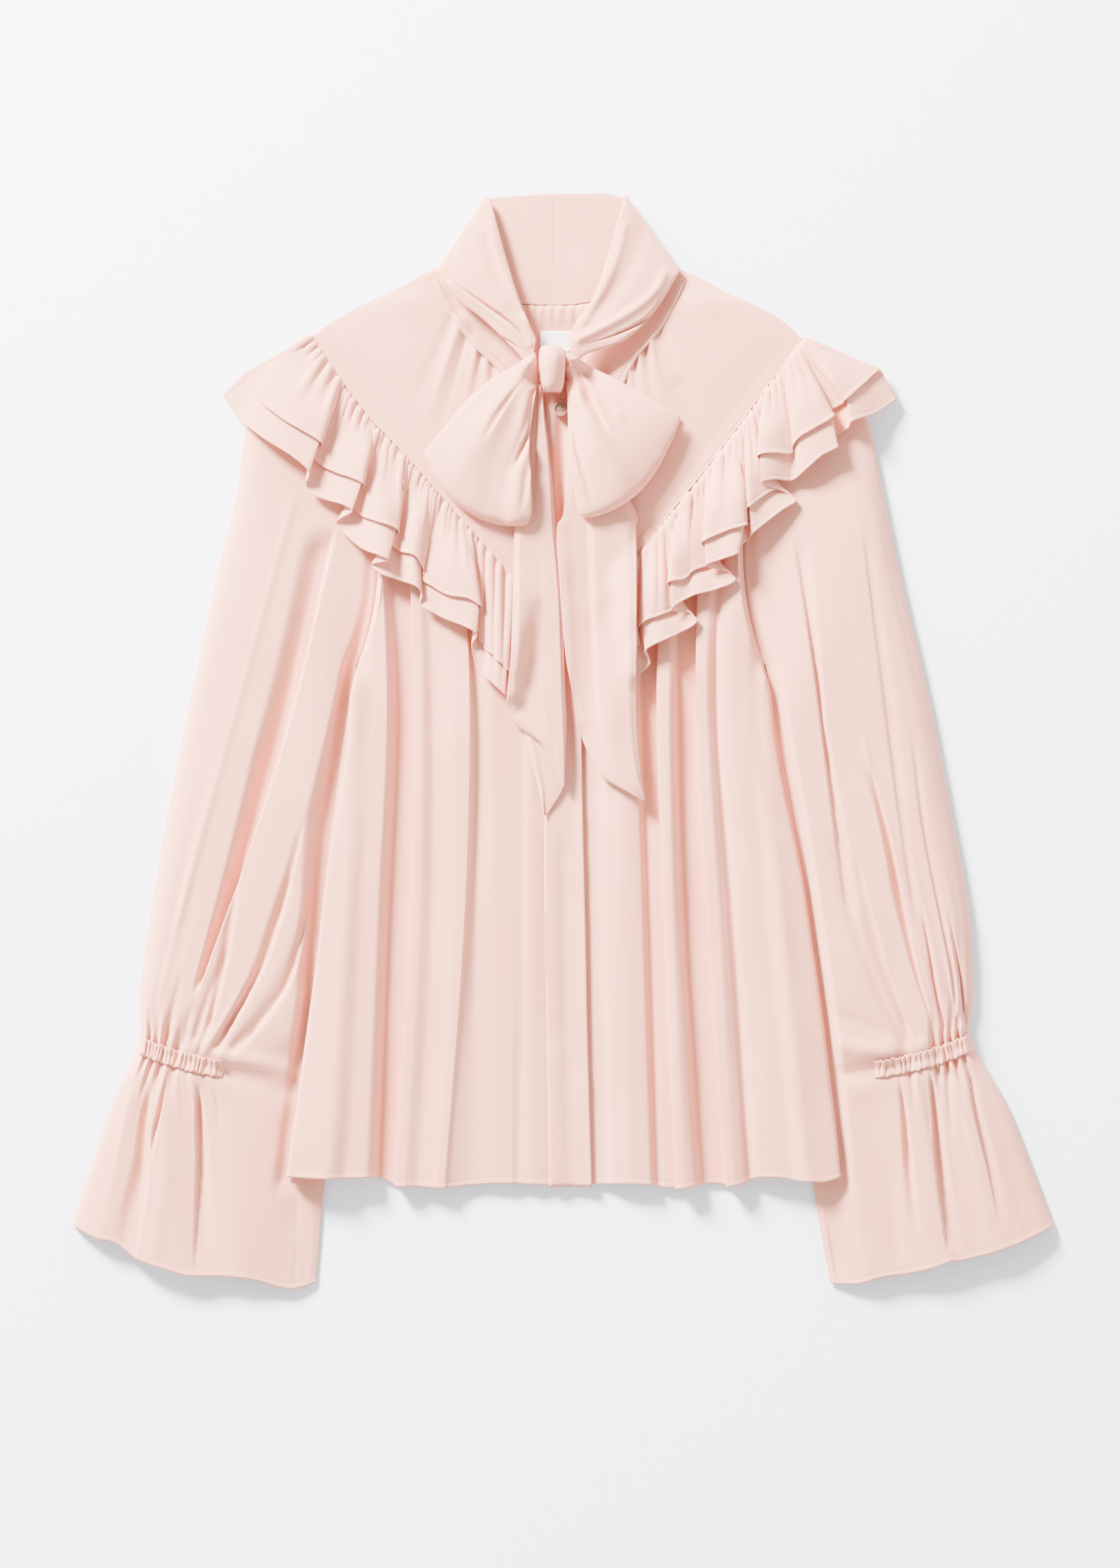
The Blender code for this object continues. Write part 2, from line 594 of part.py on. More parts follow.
def make_casing(side):
    """The band over the elastic, on the outer part of the sleeve."""
    elastic = ELASTIC_ROW / (len(SLEEVE[side]) - 1)

    def place(u, v):
        across = mix(0.6, 0.985, u)
        down = elastic + mix(-CASING_HALF_WIDTH, CASING_HALF_WIDTH, v)
        x, y = sleeve_point(side, down, across)
        shirring = 0.45 * math.cos(u * CASING_WAVES * 2 * math.pi)
        return x, y, bed(x, y, 1.5, ["sleeve_" + side]) + 0.5 + shirring

    return cloth("elastic_casing_" + side, CASING_WAVES * 2, 2, place, wall=CASING_WALL)


def ruffle_point(side, u, v, full):
    """A place on the longer tier of a ruffle: v runs from the V seam to the hem."""
    rows = FLUTE[side]
    last = len(rows) - 1
    flute = min(int(u * last), last - 1)
    phase = (u * last - flute) * 2 * math.pi
    seam_x, hem_x, hem_y, share, _ = along(rows, u)
    seam_y = read(V_SEAM[side], seam_x)[0] - 1.0
    seam_x += outward(side) * 1.0
    _, before_x, before_y, _, _ = along(rows, max(0.0, u - 0.02))
    _, after_x, after_y, _, _ = along(rows, min(1.0, u + 0.02))
    tangent = Vector((after_x - before_x, after_y - before_y)).normalized()
    if tangent.x < 0:
        tangent = -tangent
    height = mix(rows[flute][4], rows[flute + 1][4], u * last - flute)
    rise = height * (1 - math.cos(phase)) / 2 * full
    swing = rise * FLUTE_LEAN
    x = mix(seam_x, hem_x, v) + tangent.x * swing
    y = mix(seam_y, hem_y, v) + tangent.y * swing
    return x, y, rise, share


def make_ruffles(side):
    """Two tiers of ruffle from the V seam, the shorter on the longer and moved out from it."""
    columns = FLUTE_STEPS * (len(FLUTE[side]) - 1)
    under = ["front_panel_" + side, "sleeve_" + side, "back_yoke", "back_panel", "placket"]
    beds = {}

    def base(u, v):
        key = (round(u * columns), round(v * 40))
        if key not in beds:
            x, y, _, _ = ruffle_point(side, u, v, 0.0)
            beds[key] = bed(x, y, 7.0, under, 3.5)
        return beds[key]

    def longer(u, v):
        full = ease(v / 0.8)
        x, y, rise, _ = ruffle_point(side, u, v, full)
        gather = GATHER_RISE * (round(u * columns) % 2) * ease(1 - v / 0.45)
        beside = base(max(0, u - 1 / columns), v) + base(min(1, u + 1 / columns), v)
        height = max(base(u, v), 0.5 * beside)
        return Vector((x, y, height + rise + gather))

    def shorter(u, v):
        share = ruffle_point(side, u, 0.0, 0.0)[3]
        down = v * share
        step = 0.5 / columns
        here = longer(u, down)
        beside = longer(min(1.0, u + 2 * step), down) - longer(max(0.0, u - 2 * step), down)
        below = longer(u, min(1.0, down + 0.04)) - longer(u, max(0.0, down - 0.04))
        normal = beside.cross(below)
        if normal.z < 0:
            normal = -normal
        return here + normal.normalized() * RUFFLE_LIFT

    cloth("ruffle_lower_" + side, columns, 4, longer)
    cloth("ruffle_upper_" + side, columns, 4, shorter)


def make_neckband(side):
    table = NECKBAND[side]

    def place(u, v):
        seam_x, seam_y, inner_x, inner_y = along(table, v)
        x, y = mix(seam_x, inner_x, u), mix(seam_y, inner_y, u)
        return x, y, bed(x, y, 4.0) + 0.2

    return cloth("neckband_" + side, 3, 12, place)


def make_collar():
    """The tie collar: its back lies open, its two fronts fold over and gather into the knot."""
    columns = 36

    def place(u, v):
        upper_x, upper_y, lower_x, lower_y, height = along(COLLAR, u)
        x, y = mix(upper_x, lower_x, v), mix(upper_y, lower_y, v)
        front = ease((abs(u - 0.5) - 0.22) / 0.1)
        folds = 1.5 * math.sin(v * 3 * 2 * math.pi + 1.0) * front * ease((0.5 - abs(u - 0.5)) / 0.1 + 0.3)
        if front > 0.5:
            height = max(height, bed(x, y, 5.0) + 2.0)
        else:
            height = max(height, bed(x, y, 2.0, ["back_yoke"]) if v > 0.9 else 0.0)
        return x, y, height + folds

    return cloth("collar", columns, 7, place)


def make_tail(side):
    table = TAIL[side]

    def place(u, v):
        y, left, right, rise_left, rise_middle, rise_right = along(table, v)
        x = mix(left, right, u)
        rise = read([(0.0, 0.0), (0.2, rise_left), (0.5, rise_middle), (0.8, rise_right), (1.0, 0.0)], u)[0]
        return x, y, bed(x, y, TAIL_REACH) + 0.3 + max(0.0, rise)

    return cloth("tie_tail_" + side, 8, 18, place)


def make_loop(side):
    """A bow loop: the strip goes out from the knot and comes back under itself."""
    table = LOOP[side]
    steps = 7

    under = list(settled)
    beds = {}

    def lowest(x, y):
        key = (round(x * 2), round(y * 2))
        if key not in beds:
            beds[key] = bed(x, y, 12.0, under) + 0.9
        return beds[key]

    def place(u, v):
        out = min(1.0, 2 * u) if u <= 0.5 else min(1.0, 2 * (1 - u))
        outer_x, outer_y, inner_x, inner_y, height = along(table, out)
        bulge = LOOP_BULGE * math.sin(math.pi * v) * ease((out - 0.5) / 0.5)
        x, y = mix(outer_x, inner_x, v), mix(outer_y, inner_y, v)
        x += outward(side) * 0.35 * bulge
        y -= bulge
        low = lowest(x, y)
        if u > 0.5 and out < 1.0:
            return x, y, low + WALL
        crease = 1.5 * math.cos(v * 2 * 2 * math.pi) * (1 - out)
        crown = math.sin(math.pi * mix(0.12, 0.88, v)) ** 0.5
        return x, y, low + WALL + max(3.2, height * crown + crease) * (0.45 if out == 1.0 else 1.0)

    return cloth("bow_loop_" + side, 2 * steps, 8, place, turn=True)


def make_knot():
    """The band round the bow's middle: a ball drawn out down the garment, squared and flat below."""
    bm = bmesh.new()
    bmesh.ops.create_uvsphere(bm, u_segments=20, v_segments=12, radius=0.5)
    under = [
        "front_yoke_left", "front_yoke_right", "placket", "back_yoke", "label",
        "neckband_left", "neckband_right",
    ]
    lift = max(
        bed(KNOT_CENTRE[0] + across, KNOT_CENTRE[1] + up, 3.0, under)
        for across in (-6, 0, 6) for up in (-12, 0, 12))
    for vert in bm.verts:
        across, high, up = vert.co
        squared = (2 * math.hypot(across, high) + 1e-6) ** -0.5
        vert.co = Vector((
            KNOT_CENTRE[0] + across * KNOT_SIZE[0] * squared,
            KNOT_CENTRE[1] + up * KNOT_SIZE[1],
            lift + (max(high * squared, -KNOT_BOTTOM) + KNOT_BOTTOM) * KNOT_SIZE[2],
        )) * MM
    bmesh.ops.reverse_faces(bm, faces=bm.faces)
    return add("bow_knot", bm, "blush_crepe")


def make_button():
    """A four-hole button with a raised rim."""
    lift = bed(*BUTTON_CENTRE, 5.0) + BUTTON_THICK / 2
    bpy.ops.mesh.primitive_cylinder_add(
        vertices=28, radius=BUTTON_RADIUS * MM, depth=BUTTON_THICK * MM,
        location=(BUTTON_CENTRE[0] * MM, BUTTON_CENTRE[1] * MM, lift * MM))
    button = bpy.context.object
    button.name = "button"
    button.data.materials.append(finish("button_plastic"))
    cutters = []
    bpy.ops.mesh.primitive_cylinder_add(
        vertices=24, radius=(BUTTON_RADIUS - BUTTON_RIM) * MM, depth=2 * BUTTON_HOLLOW * MM,
        location=(BUTTON_CENTRE[0] * MM, BUTTON_CENTRE[1] * MM, (lift + BUTTON_THICK / 2) * MM))
    cutters.append(bpy.context.object)
    for dx in (-1, 1):
        for dy in (-1, 1):
            bpy.ops.mesh.primitive_cylinder_add(
                vertices=10, radius=BUTTON_HOLE * MM, depth=4 * BUTTON_THICK * MM,
                location=(
                    (BUTTON_CENTRE[0] + dx * HOLE_FROM_MIDDLE) * MM,
                    (BUTTON_CENTRE[1] + dy * HOLE_FROM_MIDDLE) * MM, lift * MM))
            cutters.append(bpy.context.object)
    for piece in [button, *cutters]:
        for held in list(piece.users_collection):
            held.objects.unlink(piece)
        (collection if piece is button else guides).objects.link(piece)
    for cutter in cutters:
        cutter.hide_render = True
        cutter.display_type = "WIRE"
        cut = button.modifiers.new("hole", "BOOLEAN")
        cut.object = cutter
        cut.operation = "DIFFERENCE"
    settled["button"] = None
    return button


def make_label():
    def place(u, v):
        x, y = mix(LABEL[0], LABEL[2], u), mix(LABEL[1], LABEL[3], v)
        return x, y, bed(x, y, 2.0)

    return cloth("label", 4, 2, place, material="label_satin", wall=1.0)


clear()
collection = bpy.data.collections.new("tie_neck_blouse")
guides = bpy.data.collections.new("cutters")
bpy.context.scene.collection.children.link(collection)
bpy.context.scene.collection.children.link(guides)

for hand in ("left", "right"):
    make_sleeve(hand)
make_back()
for hand in ("left", "right"):
    make_front(hand)
for hand in ("left", "right"):
    make_yoke(hand)
make_label()
make_placket()
for hand in ("left", "right"):
    make_casing(hand)
    make_ruffles(hand)
    make_neckband(hand)
make_button()
make_collar()
for hand in ("left", "right"):
    make_tail(hand)
for hand in ("left", "right"):
    make_loop(hand)
make_knot()
for piece in [*collection.objects, *guides.objects]:
    piece.location.x -= MIDDLE[0] * MM
    piece.location.y -= MIDDLE[1] * MM
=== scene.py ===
"""The looks of a tie neck blouse in blush crepe, laid flat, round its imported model.

The tables repeat the pattern's, in millimetres with their columns named above them: x to the
right, y up the garment. Left and right are the viewer's. Each cloth piece is a thin shell on its
solid's form, from a net of points made fine, with its creases pressed in.
"""

import math

import bmesh
import bpy
import numpy as np
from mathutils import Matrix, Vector
from mathutils.bvhtree import BVHTree


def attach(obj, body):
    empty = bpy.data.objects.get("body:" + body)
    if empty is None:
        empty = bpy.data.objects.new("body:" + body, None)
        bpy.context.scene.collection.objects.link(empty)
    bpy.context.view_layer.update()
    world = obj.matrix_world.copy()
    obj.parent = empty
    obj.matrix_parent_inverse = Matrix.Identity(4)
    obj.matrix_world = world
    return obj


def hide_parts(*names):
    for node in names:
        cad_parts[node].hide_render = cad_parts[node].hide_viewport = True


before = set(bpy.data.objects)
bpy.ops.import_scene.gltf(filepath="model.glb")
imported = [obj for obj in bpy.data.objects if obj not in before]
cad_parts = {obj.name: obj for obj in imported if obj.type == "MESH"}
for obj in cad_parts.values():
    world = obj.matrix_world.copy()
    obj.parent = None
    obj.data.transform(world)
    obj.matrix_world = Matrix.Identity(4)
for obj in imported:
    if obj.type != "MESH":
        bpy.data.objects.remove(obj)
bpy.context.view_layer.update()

MM = 0.001
MIDDLE = (0.75, 1.2)  # the middle of the outline in these tables, which the model has at its origin
# Thickness of each kind of shell
CLOTH = 0.4
DOUBLE_CLOTH = 0.5
RIBBON = 0.3
WALL = 1.1  # the wall of the solids
GAP = 0.4  # air between a piece and what it lies on
SLEEVE_FLAT = 3.2  # height of a sleeve's upper layer where no fold lifts it
SIDES = ("left", "right")
# How much higher the folds stand than their tables say
SLEEVE_RISE = 1.35
FRONT_RISE = {"left": 1.1, "right": 1.3}
NECK_RISE = 1.45

# The V seams, from the shoulder down to the placket: x, y
V_SEAM = {
    "left": [
        (-172.5, 278.5), (-159, 258), (-135.5, 225), (-107, 194.5),
        (-76, 159.5), (-34.5, 112), (-11, 84),
    ],
    "right": [
        (166, 276.5), (145, 247.5), (121, 214.5), (92.5, 177.5),
        (66.5, 145.5), (31, 100.5), (15.5, 82.5), (-1.5, 67.5),
    ],
}
# Side seams, from the underarm to the hem: y, x
SIDE_SEAM = {
    "left": [(51.5, -144), (16, -149.5), (-60, -160), (-155, -171), (-250, -184), (-300, -191)],
    "right": [(54, 141.5), (16, 147.5), (-60, 161.5), (-150, 175), (-235.5, 186.5), (-300, 193)],
}
# Sections of each sleeve from armhole to cuff hem: inner x, y, middle x, y, outer x, y
SLEEVE = {
    "left": [
        (-144, 50.5, -131, 158.5, -174.5, 279.5),
        (-144.5, 35, -151, 144.5, -199.5, 257.5),
        (-145.5, 16, -169.5, 116, -217, 220.5),
        (-147, -7.5, -183, 78, -225, 168),
        (-148.5, -41, -193.5, 25.5, -239, 111),
        (-150.5, -79, -203, -26.5, -255, 35),
        (-152.5, -121.5, -214, -88.5, -270.5, -41),
        (-154.5, -164.5, -223, -147.5, -283.5, -117),
        (-156.5, -202.5, -230.5, -193, -291.5, -174),
        (-158, -231, -236, -225, -292, -208),
        (-161, -273.5, -242, -273.5, -310, -250),
        (-165.5, -321, -249.5, -326, -323.5, -290),
        (-170, -375, -256.5, -366.5, -338, -333.5),
    ],
    "right": [
        (142, 51.5, 128.5, 158.5, 167.5, 277.5),
        (143, 35, 148.5, 144.5, 195, 257.5),
        (144.5, 16, 166, 116, 211.5, 220.5),
        (146, -7.5, 179, 78, 222, 168),
        (148, -41, 189.5, 25.5, 234, 111),
        (151.5, -79, 200, -26.5, 252, 35),
        (155, -121.5, 212.5, -88.5, 267, -41),
        (158.5, -164.5, 225.5, -147.5, 281, -117),
        (163, -202.5, 231.5, -190.5, 283.5, -174),
        (166, -231, 234, -222.5, 282.5, -206),
        (169.5, -273.5, 242, -271, 306.5, -250),
        (175.5, -321, 252, -322, 323, -290),
        (185, -374.5, 260, -366, 339.5, -331.5),
    ],
}
# Shares of the way down a sleeve: where its folds' second column stands, where the elastic draws it
# in, where the elastic's gathers begin and where the cuff hangs free again
HALF_WAY = 5 / 12
ELASTIC = 9 / 12
GATHERS_START = 7.9 / 12
GATHERS_END = 9.7 / 12
# Folds round a sleeve's upper layer, from its inner edge, a crisp fold as two close rows: place
# across at the armhole, half way, at the elastic and at the cuff hem, then rise at each of these
SLEEVE_FOLD = {
    "left": [
        (0, 0, 0, 0, -1.6, -1.6, -1.6, -1.6),
        (0.03, 0.03, 0.03, 0.03, 1, 1, 0, 0),
        (0.1, 0.1, 0.12, 0.1, 5, 5, 1.5, 1.5),
        (0.2, 0.19, 0.26, 0.22, 7.8, 7.8, 4, 4),
        (0.32, 0.28, 0.4, 0.31, 8.2, 8.2, 6, 5.5),
        (0.42, 0.37, 0.52, 0.38, 8.2, 8.2, 7, 5),
        (0.48, 0.43, 0.63, 0.44, 8.2, 8.2, 7, 5.5),
        (0.51, 0.47, 0.7, 0.49, 8, 8, 6.5, 6.5),
        (0.54, 0.51, 0.74, 0.56, 8, 8, 4, 7),
        (0.58, 0.57, 0.78, 0.62, 8, 8, 6.5, 7),
        (0.62, 0.65, 0.82, 0.67, 8, 8, 4, 6.5),
        (0.66, 0.72, 0.85, 0.72, 8, 8, 6.5, 5.5),
        (0.7, 0.77, 0.875, 0.77, 8, 8, 4, 5),
        (0.76, 0.81, 0.9, 0.81, 7.6, 7.6, 6.5, 5.5),
        (0.84, 0.87, 0.925, 0.86, 7, 7, 4, 5.5),
        (0.91, 0.93, 0.945, 0.91, 5.8, 5.8, 6, 4.5),
        (0.96, 0.97, 0.965, 0.955, 3.6, 3.6, 3.6, 3),
        (0.99, 0.99, 0.985, 0.985, 1.2, 1.2, 1.2, 1.2),
        (1, 1, 1, 1, -1.6, -1.6, -1.6, -1.6),
    ],
    "right": [
        (0, 0, 0, 0, -1.6, -1.6, -1.6, -1.6),
        (0.03, 0.03, 0.03, 0.03, 2, 2.5, 0.5, 0),
        (0.1, 0.08, 0.1, 0.1, 6.5, 6.5, 3.5, 2),
        (0.2, 0.15, 0.2, 0.2, 8.2, 8.2, 6, 4.5),
        (0.32, 0.23, 0.3, 0.3, 8.4, 8.4, 7.5, 4.5),
        (0.42, 0.32, 0.38, 0.38, 8.4, 8.4, 7.5, 5.5),
        (0.48, 0.4, 0.47, 0.46, 8.4, 8.4, 7, 7),
        (0.53, 0.46, 0.54, 0.53, 8.4, 8.4, 6.5, 7.5),
        (0.57, 0.51, 0.61, 0.58, 8.4, 8.4, 7.5, 6.5),
        (0.61, 0.56, 0.67, 0.62, 8.4, 8.4, 7.5, 6),
        (0.65, 0.61, 0.71, 0.66, 8.2, 8.2, 4, 6),
        (0.69, 0.66, 0.745, 0.7, 8, 8, 6.5, 6.5),
        (0.73, 0.7, 0.775, 0.74, 8, 8, 4, 7),
        (0.77, 0.75, 0.8, 0.78, 7.8, 7.8, 6.5, 7),
        (0.81, 0.8, 0.83, 0.82, 7.6, 7.6, 3.5, 6.5),
        (0.84, 0.84, 0.86, 0.86, 7.4, 7.4, 6.5, 6),
        (0.88, 0.88, 0.89, 0.89, 6.8, 6.8, 3.5, 5),
        (0.92, 0.92, 0.92, 0.92, 5.8, 5.8, 6, 4.5),
        (0.965, 0.95, 0.955, 0.955, 3.6, 4.2, 3, 3.5),
        (0.99, 0.99, 0.985, 0.985, 1.2, 1.2, 1.2, 1.2),
        (1, 1, 1, 1, -1.6, -1.6, -1.6, -1.6),
    ],
}
# Folds of the sleeves with one crisp edge: x, y of the edge at four places, which way the hollow
# beside it lies, its width at the top, middle and bottom, and its depth there
TUCK = {
    "left": [
        (-155.5, 149, -181, 35, -209.5, -60, -250, -174, -1, 22, 21, 5, 5, 9, 8),
        (-144, 68.5, -149.5, 16, -160, -60, -174.5, -174, -1, 4, 19, 9, 5, 7, 6),
        (-175, -50.5, -187.5, -102.5, -204.5, -155, -234, -208, -1, 5, 9, 6, 0.5, 3.5, 4),
        (-172.5, -102.5, -178, -136, -188.5, -169, -220, -212, -1, 4, 7, 5, 0.5, 3.5, 3),
        (-218, -74, -223, -107.5, -230.5, -155, -242.5, -202.5, -1, 4, 8, 5, 0.5, 2.6, 3.5),
        (-280.5, -231, -283, -261.5, -284, -297.5, -294, -359, -1, 5, 14, 24, 3.5, 5.5, 0.2),
        (-270, -229, -276, -259.5, -280, -276, -281.5, -290, -1, 4, 4, 3, 3, 3.5, 0.5),
        (-252, -231, -251.5, -261.5, -251.5, -297.5, -254, -368.5, 1, 4, 11, 22, 6.5, 4.5, 0.2),
        (-243, -232, -240, -245, -237.5, -259.5, -236, -273.5, 1, 2, 3, 2, 2, 1.5, 0.5),
    ],
    "right": [
        (159, 144.5, 174.5, 35, 186, -55, 195, -121.5, 1, 12, 4, 14, 1.6, 4.5, 1.2),
        (210.5, -12.5, 224.5, -62, 244, -155, 255, -193, -1, 6, 8, 3, 2, 6, 8.5),
        (205.5, 149, 219.5, 35, 232, -60, 241, -121.5, 1, 8, 10, 6, 1, 1.5, 1.2),
        (239, 6.5, 247, -60, 264.5, -150, 270.5, -188, 1, 6, 6, 4, 1, 1.4, 2.6),
        (202, -74, 212.5, -117, 224.5, -159.5, 242.5, -206, -1, 5, 12, 6, 0.5, 2.4, 3.6),
        (244.5, -107.5, 249.5, -136, 254, -164.5, 260, -195.5, 1, 3, 4, 3, 0.8, 2.6, 3),
        (266.5, -117, 272, -145.5, 276, -169, 278, -195, -1, 3, 4, 3, 0.8, 3, 3),
        (232.5, -227, 237.5, -259.5, 241.5, -297.5, 246.5, -345, -1, 3, 7, 9, 4, 5, 0.2),
        (251.5, -222.5, 254.5, -259.5, 257, -297.5, 264.5, -359, 1, 4, 10, 14, 4.5, 6, 1.5),
        (277, -218.5, 283, -257, 292.5, -297.5, 300.5, -335.5, 1, 4, 9, 9, 4, 3.5, 0.2),
        (248.5, -225, 250, -245, 251, -261.5, 252, -278.5, 1, 2, 2, 2, 2, 2.5, 0.5),
    ],
}
# Creases pressed into the sleeves: x, y at start, middle and end, half width, rise at start and end
SLEEVE_CREASE = {
    "left": [
        (-185, 163.5, -220, 35, -264.5, -126.5, 3, 0.6, 0.8),
        (-185.5, -269, -185, -297.5, -184, -330.5, 8, -2.2, -1),
        (-262.5, -229, -261.5, -242.5, -260, -255.5, 1.8, -1.6, -0.3),
        (-182, -307, -183, -340, -184, -371.5, 0.8, -0.6, -0.6),
        (-278, -225, -279, -235.5, -280.5, -250, 1.5, -2.2, -0.3),
        (-274, -226, -274, -236.5, -275, -248, 1.4, 1.4, 0.2),
        (-259, -229, -257.5, -240.5, -255.5, -252, 1.5, -2.2, -0.3),
        (-255, -230, -253.5, -240.5, -252, -250, 1.4, 1.4, 0.2),
        (-247, -232, -244, -242.5, -242, -254.5, 1.5, -2.2, -0.3),
        (-284.5, -222.5, -286.5, -233, -289.5, -246, 1.6, -1.8, -0.2),
        (-273, -297.5, -277, -326, -280, -349.5, 5, 0.8, 0.8),
        (-187.5, -98, -211.5, -159.5, -237, -209.5, 3.2, -1, -2.6),
        (-179, -126.5, -195, -169, -226.5, -212, 3.2, -0.6, -2.4),
        (-197, -126.5, -220, -174, -244.5, -211, 3, 0.8, 2),
        (-230.5, -145.5, -242, -174, -252, -204.5, 3, -1, -2.6),
        (-262.5, -164.5, -267.5, -185.5, -271.5, -204.5, 2.5, -0.8, -2.2),
        (-256, -188, -258, -200, -260, -208, 2, -0.8, -2.2),
        (-242, -193, -246.5, -204.5, -249.5, -213, 1.8, -0.6, -2.2),
        (-279, -174, -280, -188, -281.5, -202.5, 2, -0.5, -1.8),
        (-234, -216.5, -210.5, -222.5, -178, -231, 6, 3, 3.2),
        (-234, -229, -210.5, -236.5, -182, -244, 3, -1.2, -1.8),
    ],
    "right": [
        (264.5, -223.5, 266, -245, 268, -269, 1.8, -2, -0.4),
        (239, -229, 241, -240.5, 242, -252.5, 1.5, -2, -0.3),
        (243.5, -228, 245, -239.5, 246.5, -250, 1.4, 1.4, 0.2),
        (257, -225, 258.5, -238, 260, -252, 1.5, -2.2, -0.3),
        (261, -224, 262.5, -235.5, 263.5, -248, 1.4, 1.3, 0.2),
        (270.5, -221.5, 272.5, -233.5, 275, -248, 1.5, -2.2, -0.3),
        (190, -316.5, 188.5, -335.5, 189.5, -359, 9, -1.6, -1.6),
        (225.5, -297.5, 228.5, -326, 230.5, -354.5, 6, -1, -1),
        (208.5, -3, 225.5, -88.5, 252, -188, 2, 0.8, 1),
        (272, -136, 275, -164.5, 277.5, -193, 2.2, -0.8, -2.4),
        (261.5, -155, 267, -174, 271.5, -194, 2.2, -0.6, -2.2),
        (252, -155, 257.5, -176, 263.5, -197.5, 2, -0.6, -2),
        (264.5, -145.5, 269.5, -174, 274, -197.5, 2, 0.6, 1.6),
        (187.5, -69.5, 204, -136, 236, -207, 4, -0.8, -2.6),
        (225.5, -155, 234, -183.5, 244.5, -204.5, 3, -0.5, -2),
        (183, -207, 204, -212, 226.5, -213, 6, 3.2, 2.4),
        (185, -188, 202, -193, 222, -200.5, 3, -1.4, -1),
        (183, -229, 196, -230, 209.5, -232, 3, -3.2, -1.2),
        (263.5, -216.5, 265.5, -235.5, 267.5, -259.5, 2, -2.2, -0.3),
    ],
}
# The cuffs' hems against a plain curve: x, rise of the edge up the picture
HEM_WAVE = {
    "left": [
        (-339.5, 0), (-320.5, 0.6), (-308.5, 3.2), (-300.5, 1.5),
        (-292, -1.4), (-276, -1.6), (-258.5, -1.8),
        (-247, 0), (-238.5, 1.8), (-226, 3.4), (-208.5, 2.2), (-197, -1), (-186, -3), (-171, 0.5),
    ],
    "right": [
        (185, 0), (202.5, 0.3), (216, 3.4), (224, 4.4), (245.5, 4.2), (260, 5), (267.5, 5.8),
        (273, 4), (281.5, 3), (300.5, 0.6), (318, -1.2), (337, -2.5),
    ],
}
# Folds across a front panel from its side seam, a crisp fold as two close rows: x at the V seam,
# at chest, at waist and at the hem, y of the hem, rise at the chest and at the hem
FRONT_FOLD = {
    "left": [
        (-172.5, -146.5, -167.5, -190.5, -299, 1, 1.2),
        (-171, -145, -166, -189, -299.5, 6.5, 6.5),
        (-157, -137, -155.5, -176, -300.5, 8, 9),
        (-144, -128, -143, -153.5, -301, 9.5, 10.5),
        (-132.5, -121, -128, -135.5, -300.5, 9.5, 10),
        (-128, -117.5, -123, -130, -300, 6, 6.5),
        (-123, -113, -118.5, -126, -301, 1.2, 0.6),
        (-114.5, -107, -110.5, -120, -304, 0.8, 0.3),
        (-108.5, -100.5, -103, -114, -306.5, 0.8, 0.3),
        (-109, -102, -104.5, -115.5, -306.5, 7.5, 7.5),
        (-102, -96.5, -98.5, -109, -307, 8.2, 8),
        (-95, -89, -89, -99, -307, 5.6, 5.4),
        (-87, -82.5, -81, -91.5, -307.5, 6.4, 6.4),
        (-78.5, -73.5, -72.5, -85, -308, 8, 7.8),
        (-71.5, -64, -67.5, -81.5, -308, 8.2, 7.8),
        (-70, -62, -64.5, -77.5, -308, 5, 5.6),
        (-66, -58.5, -59.5, -60.5, -306, 2.8, 2.6),
        (-54.5, -48, -46, -44, -305, 4.6, 4),
        (-47, -40.5, -36.5, -35.5, -305, 3.6, 4.4),
        (-37.5, -30, -28, -30, -305, 3, 3.2),
        (-27, -22.5, -21.5, -21.5, -305.5, 4.2, 4.2),
        (-11, -8.5, -7.5, -5.5, -306.5, 2, 2.4),
    ],
    "right": [
        (166, 144.5, 170.5, 192.5, -299.5, 1, 1),
        (164, 143, 169, 191, -300.5, 2.4, 3),
        (153.5, 135, 159, 178, -303.5, 4.4, 5.5),
        (141, 127, 147, 162, -302.5, 7, 8),
        (129.5, 117.5, 133.5, 148.5, -300.5, 7.4, 7.6),
        (119, 109.5, 123, 136.5, -300.5, 6.4, 6),
        (114.5, 106, 117.5, 129.5, -302.5, 4, 3.2),
        (109.5, 103, 112.5, 125, -305, 6, 6),
        (104, 98.5, 107, 117.5, -306.5, 8, 8),
        (96.5, 92, 100.5, 113, -307, 7.8, 7.8),
        (97.5, 93.5, 102, 114.5, -307, 1, 0.6),
        (90.5, 88, 94.5, 107, -305.5, 0.8, 0.4),
        (84, 80.5, 85, 98, -305.5, 1, 0.6),
        (80.5, 76.5, 80, 90.5, -307, 6.5, 6.8),
        (76.5, 72.5, 75.5, 84, -308, 8.4, 8.4),
        (71, 65, 70, 78, -308.5, 7.4, 7.2),
        (72, 66.5, 71, 79.5, -308, 1.4, 2.4),
        (64, 60.5, 65.5, 72.5, -308, 1.4, 2.4),
        (58.5, 55, 60, 66, -307, 1.2, 1.6),
        (54.5, 51, 54.5, 60, -306, 5.2, 5.6),
        (47.5, 42.5, 44, 49, -305, 6.4, 6.2),
        (38, 32, 33, 36.5, -305, 4.8, 4.6),
        (23.5, 20.5, 22.5, 27, -305.5, 1.2, 1.4),
        (-0.5, -5.5, -5.5, -3.5, -306, 0.6, 0.6),
    ],
}
CHEST_Y = 35.0
WAIST_Y = -121.5
